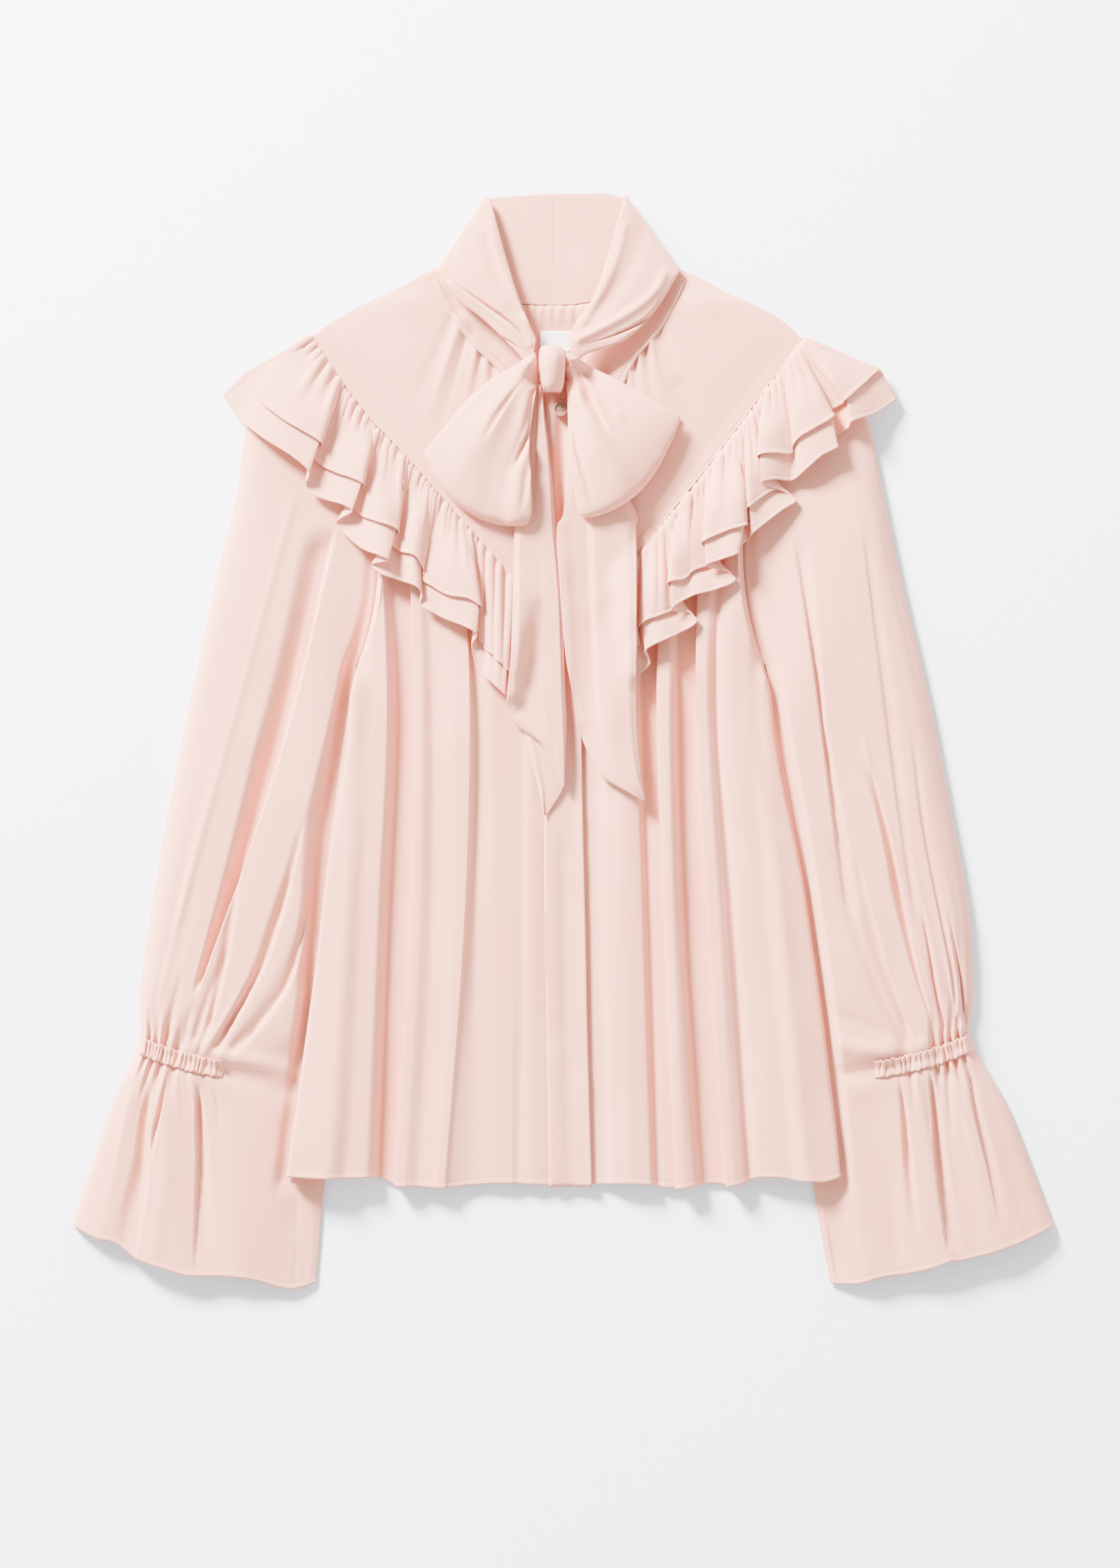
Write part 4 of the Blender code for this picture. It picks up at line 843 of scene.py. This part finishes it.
def shell(name, nets, material, closed=False, thickness=CLOTH):
    """A thin shell on one or more fine nets, which stands for its solid."""
    nets = nets if isinstance(nets, list) else [nets]
    bm = bmesh.new()
    for points in nets:
        part = grid(points)
        bm.from_mesh(part)
        bpy.data.meshes.remove(part)
    if closed:
        bmesh.ops.remove_doubles(bm, verts=bm.verts, dist=0.00001)
    bm.normal_update()
    if closed:
        middle = sum((v.co for v in bm.verts), Vector()) / len(bm.verts)
        facing = sum(f.calc_area() * f.normal.dot(f.calc_center_median() - middle) for f in bm.faces)
    else:
        facing = sum(f.calc_area() * f.normal.z for f in bm.faces)
    if facing < 0:
        bmesh.ops.reverse_faces(bm, faces=bm.faces)
    mesh = bpy.data.meshes.new(name + "_cloth")
    bm.to_mesh(mesh)
    bm.free()
    trees[name] = surface_of(mesh)
    mesh.shade_smooth()
    mesh.materials.append(material)
    piece = bpy.data.objects.new(name + "_cloth", mesh)
    bpy.context.scene.collection.objects.link(piece)
    thick = piece.modifiers.new("cloth", "SOLIDIFY")
    thick.thickness = thickness * MM
    thick.offset = -1.0
    thick.use_even_offset = False
    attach(piece, "root")
    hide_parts(name)
    wide = float(np.linalg.norm(np.diff(nets[0], axis=1), axis=2).sum(axis=1).max()) * MM


def dial(node, values):
    """Sets a shader node's inputs by their names."""
    for name, value in values.items():
        node.inputs[name].default_value = value


def ramp(nodes, stops):
    """A colour ramp with two stops: position, colour."""
    node = nodes.new("ShaderNodeValToRGB")
    for element, (position, colour) in zip(node.color_ramp.elements, stops):
        element.position = position
        element.color = (*colour, 1)
    return node


def surface(name, values):
    """A new material, its shader's inputs set."""
    material = bpy.data.materials.new(name)
    material.use_nodes = True
    dial(material.node_tree.nodes["Principled BSDF"], values)
    return material


def crepe():
    """Matt blush crepe: a fine pebbled grain, faint uneven colour and a soft nap."""
    material = surface("blush_crepe", {
        "Roughness": 0.88, "Specular IOR Level": 0.25, "Sheen Weight": 0.25, "Sheen Roughness": 0.5,
        "Sheen Tint": (1.0, 0.88, 0.84, 1),
    })
    nodes, links = material.node_tree.nodes, material.node_tree.links
    shader, place = nodes["Principled BSDF"], nodes.new("ShaderNodeTexCoord")
    patches, grain = nodes.new("ShaderNodeTexNoise"), nodes.new("ShaderNodeTexNoise")
    dial(patches, {"Scale": 14.0, "Detail": 3.0})
    dial(grain, {"Scale": 1700.0, "Detail": 2.0})
    for node in (patches, grain):
        links.new(place.outputs["Object"], node.inputs["Vector"])
    colours = ramp(nodes, [(0.3, (0.745, 0.308, 0.207)), (0.7, (0.767, 0.333, 0.228))])
    links.new(patches.outputs["Fac"], colours.inputs["Fac"])
    links.new(colours.outputs["Color"], shader.inputs["Base Color"])
    bump = nodes.new("ShaderNodeBump")
    dial(bump, {"Strength": 0.5, "Distance": 0.00015})
    links.new(grain.outputs["Fac"], bump.inputs["Height"])
    links.new(bump.outputs["Normal"], shader.inputs["Normal"])
    return material


def plain(name, colour, roughness):
    """A smooth material of one colour."""
    return surface(name, {"Base Color": (*colour, 1), "Roughness": roughness, "Specular IOR Level": 0.25})


blush = crepe()
satin = plain("label_satin", (0.86, 0.86, 0.85), 0.5)
horn = plain("button_plastic", (0.28, 0.13, 0.095), 0.55)


# Sleeves

def make_sleeve(side):
    """A flattened tube with its long folds, gathers above the elastic and the cuff's flutes."""
    folds = np.array(SLEEVE_FOLD[side])
    vs = to_hem(112, 6, 0.012)
    back = np.linspace(1, 0, 24)[1:-1]
    places = [(level, *folds[:, k]) for k, level in enumerate([0.0, HALF_WAY, ELASTIC, 1.0])]
    levels = [(0.0, 4), (HALF_WAY, 5), (GATHERS_START, 5), (ELASTIC, 6), (GATHERS_END, 7), (1.0, 7)]
    rises = [(level, *folds[:, k]) for level, k in levels]
    us = np.linspace(0, len(folds) - 1, 190)
    down = np.repeat(vs[:, None], len(us), axis=1)
    across = glide(np.stack(read(places, vs), axis=1), us)
    rise = glide(np.stack(read(rises, vs), axis=1), us)
    x, y = sleeve_point(side, down, across)
    # No fold stands up on what the body covers
    clear = (x - body_edge(side, y)) * outward(side)
    hem_y = SIDE_SEAM[side][-1][0]
    clear = np.where(y < hem_y, np.maximum(clear, (hem_y - y) * 0.7), clear)
    shown = ease((clear - 1.5) / 7.0)
    # The folds start low at the armhole and dip under the elastic
    drawn_in = np.exp(-(((down - ELASTIC) / 0.012) ** 2))
    puff = mix(0.25, 1.0, ease((down - 0.04) / 0.25)) * (1 - 0.3 * drawn_in)
    height = SLEEVE_FLAT + np.where(rise > 0, SLEEVE_RISE * rise * shown * puff, rise)
    relief = creases(x, y, SLEEVE_CREASE[side]) + tucks(x, y, TUCK[side]) + 0.35 * noise(x, y, 70, 3)
    relief *= ease(np.minimum(across, 1 - across) / 0.05) * shown
    height = np.where(rise > 0, np.maximum(height + relief, SLEEVE_FLAT * 0.7), height)
    # The upper layer's end goes in under the body at the armhole, and the lower layer lies flat
    into_armhole = 2.4 * (1 - ease(down / 0.012)) * (height > 2.0)
    top = np.stack([x - outward(side) * into_armhole, y, height], axis=2)
    low_down = np.repeat(vs[:, None], len(back), axis=1)
    low_x, low_y = sleeve_point(side, low_down, np.repeat(back[None, :], len(vs), axis=0))
    low = np.stack([low_x, low_y, 0.3 + 0 * low_x], axis=2)
    points = np.concatenate([top, low, top[:, :1]], axis=1)
    by_hem = ease((np.concatenate([down, low_down, down[:, :1]], axis=1) - 0.84) / 0.16)
    points[..., 1] += by_hem * read(HEM_WAVE[side], points[..., 0])[0]
    shell("sleeve_" + side, hemmed(points), blush, closed=True)


for hand in SIDES:
    make_sleeve(hand)


# Back

def body_height(x, y):
    """The body's rise where it lies on the sleeves' inner edges."""
    height = 0.0
    for side in SIDES:
        below_underarm = SLEEVE[side][0][1] - y
        inside = (inner_edge(side, y) - x) * outward(side)
        rise = ease(below_underarm / 12.0) * ease(1 - (inside - 2.0) / 14.0)
        near_hem = 1.2 * ease((-240.0 - y) / 40.0)
        height = np.maximum(height, (SLEEVE_FLAT + GAP + 0.5 + near_hem) * rise)
    return height


def beside_armhole(side, y):
    """How far inside its edge the body's cloth ends."""
    return mix(1.2, 2.2, ease((y - SLEEVE[side][0][1] + 20) / 20.0))


def make_back():
    """The back's panel and the gathered yoke above it."""
    u, v = np.meshgrid(evenly(48), evenly(24))
    y = mix(BACK_HEM_Y, BACK_SEAM_Y - 0.3, v)
    left = body_edge("left", y) + beside_armhole("left", y)
    right = body_edge("right", y) - beside_armhole("right", y)
    x = mix(left, right, u)
    height = body_height(x, y) + 0.6
    shell("back_panel", np.stack([x, y, height], axis=2), blush)

    inset = 2.6

    def yoke(u, v):
        x = mix(SLEEVE["left"][0][4] + 4, SLEEVE["right"][0][4] - 4, u)
        bottom = BACK_SEAM_Y
        for side in SIDES:
            shoulder_y = SLEEVE[side][0][5]
            edge = body_edge(side, BACK_SEAM_Y) - outward(side) * inset
            if (x - edge) * outward(side) > 0:
                share = (x - edge) / (body_edge(side, shoulder_y) - edge)
                bottom = mix(BACK_SEAM_Y, shoulder_y, min(1.0, share))
                for _ in range(12):
                    if (x - body_edge(side, bottom)) * outward(side) > -inset:
                        bottom += 6
        top = read(BACK_YOKE_TOP, x)[0]
        return x, mix(min(bottom, top - 1.5), top, v), 0.6

    points = fine(net(40, 4, yoke), evenly(200), evenly(34))
    x, y = points[..., 0], points[..., 1]
    near_seam = ease((y - 281.0) / 14.0) * (np.abs(x + 6) < 60)
    points[..., 2] += 2.0 * near_seam + creases(x, y, BACK_GATHERS)
    shell("back_yoke", points, blush)


make_back()


# Front panels

def course(ys, xs, y):
    """x at y on smooth curves through four points each: arrays ys and xs from the top down."""
    x = xs[0] + 0 * y
    for k in range(3):
        top, low = ys[k], ys[k + 1]
        span = low - top
        t = np.clip((y - top) / span, 0, 1)
        a = (xs[k + 1] - xs[max(k - 1, 0)]) / (ys[k + 1] - ys[max(k - 1, 0)]) * span
        b = (xs[min(k + 2, 3)] - xs[k]) / (ys[min(k + 2, 3)] - ys[k]) * span
        x = np.where(y <= top, curve(xs[k], xs[k + 1], a, b, t), x)
    return x


def make_front(side):
    """A front panel with the long folds that fall from the V seam."""
    folds = np.array(FRONT_FOLD[side])
    at, v = np.meshgrid(np.linspace(0, len(folds) - 1, 216), to_hem(88, 6, 0.012))
    seam_x, chest_x, waist_x, hem_x, hem_y, chest_rise, hem_rise = glide(folds.T, at)
    seam_y = read(V_SEAM[side], seam_x)[0]
    y = mix(seam_y - 0.5, hem_y, v)
    x = course([seam_y, CHEST_Y + 0 * y, WAIST_Y + 0 * y, hem_y], [seam_x, chest_x, waist_x, hem_x], y)
    edge = body_edge(side, y) - outward(side) * beside_armhole(side, y)
    # The folds next to the side stay inside its edge
    sign = -outward(side)
    x = np.where(at < 6, sign * np.maximum(sign * x, sign * edge + 1.3 * at), x)
    # The folds start flat at the V seam and fill out on the way down
    filling = np.minimum(150.0, np.maximum(60.0, seam_y - CHEST_Y + 20))
    full = mix(0.1, 1.0, ease((seam_y - 8 - y) / filling))
    rise = mix(chest_rise, hem_rise, np.clip((CHEST_Y - y) / (CHEST_Y - hem_y), 0, 1))
    height = body_height(x, y) + WALL + GAP + 0.7 + FRONT_RISE[side] * rise * full
    height += 0.35 * noise(x * 1.6, y * 0.5, 60, 5)
    points = np.stack([x, y, height], axis=2)
    shell("front_panel_" + side, hemmed(points), blush)


for hand in SIDES:
    make_front(hand)


# Yokes

# What the pieces laid later lie on
LOWER = ["back_yoke", "back_panel", "front_panel_left", "front_panel_right"]


def make_yoke(side):
    """A front yoke with a low crown, creased below the neck and pressed down along the V seam."""
    def place(u, v):
        y, outer, inner = along(FRONT_YOKE[side], v)
        x = mix(outer, inner, u)
        crown = YOKE_CROWN * math.sin(math.pi * min(1.0, u * 0.8 + 0.1)) ** 0.7
        crown *= ease(abs(outer - inner) / 60.0)
        return x, y, bed(x, y, 5.0, LOWER, 2.0) + crown + 0.6

    us = np.concatenate([np.linspace(0, 0.06, 14), np.linspace(0.06, 1, 90)[1:]])
    points = fine(net(10, 13, place), us, evenly(108))
    x, y = points[..., 0], points[..., 1]
    points[..., 2] += NECK_RISE * creases(x, y, NECK_CREASE[side]) + 0.3 * noise(x, y, 90, 9)
    # A line of stitching beside the V seam, and the seam's edge pressed down
    seam_y = read(V_SEAM[side], x)[0]
    inside = (y - seam_y) * 0.7
    points[..., 2] -= 0.35 * np.exp(-(((inside - 3.0) / 0.6) ** 2)) + 0.5 * (1 - ease(inside / 0.8))
    shell("front_yoke_" + side, points, blush)


for hand in SIDES:
    make_yoke(hand)
LOWER += ["front_yoke_left", "front_yoke_right", "label"]


# Placket, label, casings and neckbands

def make_placket():
    """The button band, a little higher along its free right edge."""
    def place(u, v):
        y, left, right = along(PLACKET, v)
        x = mix(left, right, u)
        return x, y, bed(x, y, 9.0, LOWER) + 0.3 + 1.9 * u

    points = fine(net(4, 16, place), evenly(20), evenly(220))
    points[..., 2] += 0.25 * noise(points[..., 0], points[..., 1], 40, 4)
    points[:, 0, 2] -= 0.5
    shell("placket", points, blush, thickness=DOUBLE_CLOTH)


def make_label():
    """A small bare label inside the neck."""
    def place(u, v):
        x, y = mix(LABEL[0], LABEL[2], u), mix(LABEL[1], LABEL[3], v)
        return x, y, bed(x, y, 2.0, ["back_yoke"]) + 0.8

    shell("label", fine(net(4, 2, place), evenly(40), evenly(24)), satin, thickness=RIBBON)


CASING_END = {"left": 0.48, "right": 0.34}  # the share of the way across a sleeve at its casing's inner end
CASING_HALF = 0.0125  # half a casing's width, as a share of the way down a sleeve


def make_casing(side):
    """The band over the elastic, shirred into uneven puffs."""
    puffs = 18

    def place(u, v):
        down = ELASTIC + mix(-CASING_HALF, CASING_HALF, v)
        x, y = sleeve_point(side, down, mix(CASING_END[side], 0.985, u))
        return x, y, bed(x, y, 1.5, ["sleeve_" + side]) + 0.6

    us, vs = evenly(280), evenly(16)
    points = fine(net(24, 2, place), us, vs)
    u, v = np.meshgrid(us, vs)
    uneven = u + 0.012 * np.sin(u * 17 + 1) + 0.008 * np.sin(u * 41 + 2) + 0.02 * (v - 0.5) * np.sin(u * 23)
    puff = np.abs(np.sin(uneven * puffs * math.pi)) ** 0.6
    size = 1.7 + 0.6 * np.sin(u * 29 + 0.5)
    ends = ease(np.minimum(u, 1 - u) / 0.06)
    points[..., 2] += np.sin(math.pi * v) ** 0.5 * size * puff * ends - 0.7 * (1 - ends)
    points[..., 1] += (v - 0.5) * 2 * (puff - 0.6) * ends + 0.3 * np.sin(u * 47)
    shell("elastic_casing_" + side, points, blush)


def make_neckband(side):
    """A flat band that tucks under the collar, its edges pressed down."""
    lying = ground(LOWER, 5.0, 0.0)
    u, v = np.meshgrid(evenly(16), evenly(90))
    seam_x, seam_y, inner_x, inner_y = along(NECKBAND[side], v)
    wide = mix(-0.06, 1.05, u)
    x, y = mix(seam_x, inner_x, wide), mix(seam_y, inner_y, wide)
    edge = np.minimum(np.minimum(u, v), 1 - v)
    height = lying(x, y) + 0.7 - 0.9 * (1 - ease(edge / 0.1))
    shell("neckband_" + side, np.stack([x, y, height], axis=2), blush)


make_placket()
make_label()
LOWER.append("placket")
for hand in SIDES:
    make_casing(hand)
    make_neckband(hand)


# Ruffles

GATHER_SEED = {"left": 11, "right": 12}


def make_ruffles(side):
    """Two tiers from one seam, with short gathers at chance places that fade on the way down."""
    under = ["front_panel_" + side, "sleeve_" + side, "back_yoke", "back_panel", "placket"]
    height_at = ground(under, 6.0, 3.5)
    chance = np.random.default_rng(GATHER_SEED[side])
    count = 46
    spots = (np.arange(count) + chance.uniform(0.15, 0.85, count)) / count
    lengths = chance.uniform(0.18, 0.75, count)
    sizes = chance.uniform(1.5, 3.6, count)
    lengths = np.where(spots > 0.84, 1.3, lengths)  # by the placket the gathers run to the hem

    def tier(last, lift, name):
        u, v = np.meshgrid(evenly(440), to_hem(24, 5) * last)
        seam_x, upper_x, upper_y, lower_x, lower_y, rise = along(RUFFLE[side], u)
        seam_y = read(V_SEAM[side], seam_x)[0]
        first = np.minimum(v / UPPER_SHARE, 1.0)
        second = np.clip((v - UPPER_SHARE) / (1 - UPPER_SHARE), 0, 1)
        x = mix(mix(seam_x, upper_x, first), lower_x, second)
        y = mix(mix(seam_y, upper_y, first), lower_y, second)
        height = height_at(x, y) + 1.2 + 1.15 * np.maximum(rise, 1.4) * ease(first * 1.25 + 0.05)
        for at, length, size in zip(spots, lengths, sizes):
            fold = np.exp(-(((u - at) * count / (0.26 + 0.25 * v)) ** 2))
            height += size * fold * (1 - ease(v / length)) * ease(v / 0.04)
        height += 0.5 * noise(x, y, 45, 17) * first
        # The seam's edge is pressed down under the yoke
        start = 1 - ease(v / 0.02)
        height -= 1.2 * start
        x, y = x - outward(side) * start, y + 1.2 * start
        points = np.stack([x, y, height], axis=2)
        points = points + normals(points) * lift * ease(v / 0.05 + 0.2)[..., None]
        shell(name, hemmed(points, 2.4), blush)

    tier(1.0, 0.0, "ruffle_lower_" + side)
    tier(UPPER_SHARE, 2.2, "ruffle_upper_" + side)


for hand in SIDES:
    make_ruffles(hand)


# Collar and bow

NECKBANDS = ["neckband_left", "neckband_right"]
BACK_SEAM_X = -5.0  # the collar's seam at the middle of the back


def make_collar():
    """The collar, flat behind the neck and rolled over itself in front."""
    over_bands, over_yoke = ground(LOWER + NECKBANDS, 6.0, 0.0), ground(["back_yoke"], 2.0, 0.0)
    u, v = np.meshgrid(evenly(260), evenly(68))
    upper_x, upper_y, lower_x, lower_y, height = along(COLLAR, u)
    x, y = mix(upper_x, lower_x, v), mix(upper_y, lower_y, v)
    from_middle = np.abs(u - 0.5)
    front = ease((from_middle - 0.21) / 0.05)
    low = np.where(v > 0.9, over_yoke(x, y), 0.0)
    roll = 1.5 * np.sin(math.pi * v) ** 0.6 * ease((from_middle - 0.24) / 0.1)
    high = np.maximum(height, over_bands(x, y) + 2.6) + roll
    z = mix(np.maximum(height, low), high, front) + 0.6
    z += front * (creases(x, y, COLLAR_CREASE) + tucks(x, y, COLLAR_TUCK))
    z += 0.35 * noise(x, y, 60, 21)
    z -= 0.5 * np.exp(-(((x - BACK_SEAM_X) / 0.7) ** 2)) * (1 - front)
    z -= 0.8 * front * (1 - ease(np.minimum(v, 1 - v) / 0.05))
    shell("collar", np.stack([x, y, z], axis=2), blush)


def make_tail(side):
    """A tail of the tie, higher on one side of its fold, and the left one's end folded back."""
    under = LOWER + NECKBANDS + ["ruffle_upper_" + side, "ruffle_lower_" + side, "button"]
    if side == "right":
        under.append("tie_tail_left")
    lying = ground(under, 6.0, 0.0)
    u, v = np.meshgrid(evenly(48), to_hem(120, 6, 0.02))
    y, left, fold, right, low, high = along(TAIL[side], v)
    crisp = 0.42  # the share of the way across of its fold
    x = np.where(u < crisp, mix(left, fold, u / crisp), mix(fold, right, (u - crisp) / (1 - crisp)))
    step = ease((u - crisp + 0.06) / 0.12)
    edges = ease(np.minimum(u, 1 - u) / 0.12)
    height = lying(x, y) + 1.8 + mix(low, high, step) * mix(0.5, 1.0, edges)
    height += 0.5 * noise(x * 2.0, y * 0.5, 50, 31)
    nets = [np.stack([x, y, height], axis=2)]
    if side == "left":
        u, v = np.meshgrid(evenly(24), evenly(30))
        y, left, right = along(TAIL_FLAP, v)
        x = mix(left, right, u)
        height = lying(x, y) + 1.2 + 2.2 * np.sin(math.pi * u) * (1 - v)
        height += 1.5 * np.exp(-(((u - 0.12) / 0.1) ** 2))
        nets.append(np.stack([x, y, height], axis=2))
    shell("tie_tail_" + side, nets, blush)


def make_loop(side):
    """A bow loop: from the knot along its upper layer to its round end, and back underneath."""
    under = LOWER + NECKBANDS + ["collar", "button", "tie_tail_left", "tie_tail_right"]
    under.append("ruffle_upper_" + side)
    if side == "right":
        under.append("bow_loop_left")
    lying = ground(under, 6.0, 0.0)
    u, v = np.meshgrid(evenly(140), evenly(62))
    out = np.minimum(1.0, np.where(u <= 0.5, 2 * u, 2 * (1 - u)) * 1.02)
    outer_x, outer_y, inner_x, inner_y, height = along(LOOP[side], out)
    swell = LOOP_END * np.sin(math.pi * v) ** 0.8 * ease((out - 0.35) / 0.65)
    x = mix(outer_x, inner_x, v) + outward(side) * 0.42 * swell
    y = mix(outer_y, inner_y, v) - 0.9 * swell
    low = lying(x, y) + 1.2
    crown = np.sin(math.pi * mix(0.05, 0.95, v)) ** 0.42
    puffed = 0.92 * height * crown + creases(x, y, LOOP_CREASE[side]) + tucks(x, y, LOOP_TUCK[side])
    puffed += 0.5 * noise(x, y, 60, 41)
    round_end = np.sqrt(np.clip(1 - ((out - 0.9) / 0.1).clip(0, 1) ** 2, 0, 1))
    z = np.where(u <= 0.5, low + 1.2 + np.maximum(2.0, puffed) * mix(0.12, 1.0, round_end), low)
    shell("bow_loop_" + side, np.stack([x, y, z], axis=2), blush)


def make_knot():
    """A band wrapped round the bow's middle, made round an axis that runs down the garment."""
    u, v = np.meshgrid(evenly(84), evenly(48))
    angle = u * 2 * math.pi
    y, middle, half, top = along(KNOT, v)
    wraps = 1 + 0.05 * np.cos(3 * angle + 2.5 * v) + 0.03 * np.cos(5 * angle - 3 * v)
    width = np.sign(np.cos(angle)) * np.abs(np.cos(angle)) ** 0.8
    x = middle + half * width * wraps
    lift = np.sign(np.sin(angle)) * np.abs(np.sin(angle)) ** 0.75
    z = mix(KNOT_BOTTOM, top, 0.5 + 0.5 * lift * wraps) + 0.5 * np.sin(math.pi * v)
    shell("bow_knot", np.stack([x, y, z], axis=2), blush, closed=True)


make_collar()
for hand in SIDES:
    make_tail(hand)
for hand in SIDES:
    make_loop(hand)
make_knot()


# Sewing

def make_stitches(name, lines, under, spacing=2.6, length=1.7, wide=0.22):
    """Stitches along lines of points, each a small closed wedge that lies on the pieces under it."""
    verts, faces = [], []
    for line in lines:
        line = np.array(line, float)
        steps = np.hypot(*np.diff(line, axis=0).T)
        so_far = np.concatenate([[0], np.cumsum(steps)])
        for start in np.arange(0, so_far[-1] - length, spacing):
            ends = [
                [np.interp(at, so_far, line[:, axis]) for axis in (0, 1)] for at in (start, start + length)
            ]
            (x0, y0), (x1, y1) = ends
            dx, dy = (x1 - x0) / length * wide, (y1 - y0) / length * wide
            first = len(verts)
            for x, y in ends:
                z = bed(x, y, 0.3, under)
                verts += [(x - dy, y + dx, z - 0.1), (x + dy, y - dx, z - 0.1), (x, y, z + 0.32)]
            a, b, c, d, e, f = range(first, first + 6)
            faces += [(a, b, c), (d, f, e), (a, d, e, b), (b, e, f, c), (c, f, d, a)]
    mesh = bpy.data.meshes.new(name)
    mesh.from_pydata([tuple(np.array(v) * MM) for v in verts], [], faces)
    mesh.update()
    mesh.materials.append(blush)
    piece = bpy.data.objects.new(name, mesh)
    bpy.context.scene.collection.objects.link(piece)
    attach(piece, "root")


in_from_seam = 0.14  # the share of the way across a neckband at which it is stitched down
band_lines = [
    [(mix(row[0], row[2], in_from_seam), mix(row[1], row[3], in_from_seam)) for row in NECKBAND[hand]]
    for hand in SIDES
]
make_stitches("neckband_stitches", band_lines, NECKBANDS)
placket_line = [(-13.5, -50.5), (-11.0, -202.5), (-9.5, -297.5)]
make_stitches("placket_stitches", [placket_line], ["placket"])

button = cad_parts["button"]
button.data.materials.clear()
button.data.materials.append(horn)


# Floor, light and camera

FLOOR = (0.92, 0.955, 1.0)
HORIZON = (0.93, 0.96, 1.0)
ZENITH = (0.10, 0.105, 0.11)
SKY_STRENGTH = 5.3
WINDOW_PLACE = (-2.2, 2.9, 1.8)
WINDOW_SIZE = 1.0
WINDOW_POWER = 1850
AIM = (0, -0.05, 0)  # the point that the window's light faces
VIEW_HIGH = 1.0802  # the height of the photograph's frame, measured on the cloth, in metres
CLOTH_HIGH = 0.006  # and the cloth's height there
EYE = (-0.0014, -0.0299)  # the point that the camera looks straight down on, in the tables' frame


def stage():
    """A pale floor under a sky that is brightest at its edge, and one large window."""
    bpy.ops.mesh.primitive_plane_add(size=12, location=(0, 0, -0.0005))
    floor = bpy.context.object
    floor.name = "floor"
    floor.data.materials.append(surface("floor", {"Base Color": (*FLOOR, 1), "Roughness": 0.9}))

    world = bpy.data.worlds.new("studio")
    bpy.context.scene.world = world
    world.use_nodes = True
    nodes, links = world.node_tree.nodes, world.node_tree.links
    sky, place = nodes["Background"], nodes.new("ShaderNodeTexCoord")
    split = nodes.new("ShaderNodeSeparateXYZ")
    links.new(place.outputs["Generated"], split.inputs["Vector"])
    high = ramp(nodes, [(0.0, HORIZON), (0.9, ZENITH)])
    links.new(split.outputs["Z"], high.inputs["Fac"])
    links.new(high.outputs["Color"], sky.inputs["Color"])
    dial(sky, {"Strength": SKY_STRENGTH})

    light = bpy.data.lights.new("window", "AREA")
    light.shape = "RECTANGLE"
    light.size = light.size_y = WINDOW_SIZE
    light.energy = WINDOW_POWER
    light.color = (1.0, 0.995, 0.99)
    lamp = bpy.data.objects.new("window", light)
    lamp.location = WINDOW_PLACE
    lamp.rotation_euler = (Vector(AIM) - Vector(WINDOW_PLACE)).to_track_quat("-Z", "Y").to_euler()
    bpy.context.scene.collection.objects.link(lamp)


def camera():
    data = bpy.data.cameras.new("camera")
    data.lens = 85
    data.sensor_fit = "VERTICAL"
    data.sensor_height = 36
    data.clip_end = 20
    eye = bpy.data.objects.new("camera", data)
    high = VIEW_HIGH * data.lens / data.sensor_height + CLOTH_HIGH
    eye.location = (EYE[0] - MIDDLE[0] * MM, EYE[1] - MIDDLE[1] * MM, high)
    bpy.context.scene.collection.objects.link(eye)
    bpy.context.scene.camera = eye


stage()
camera()
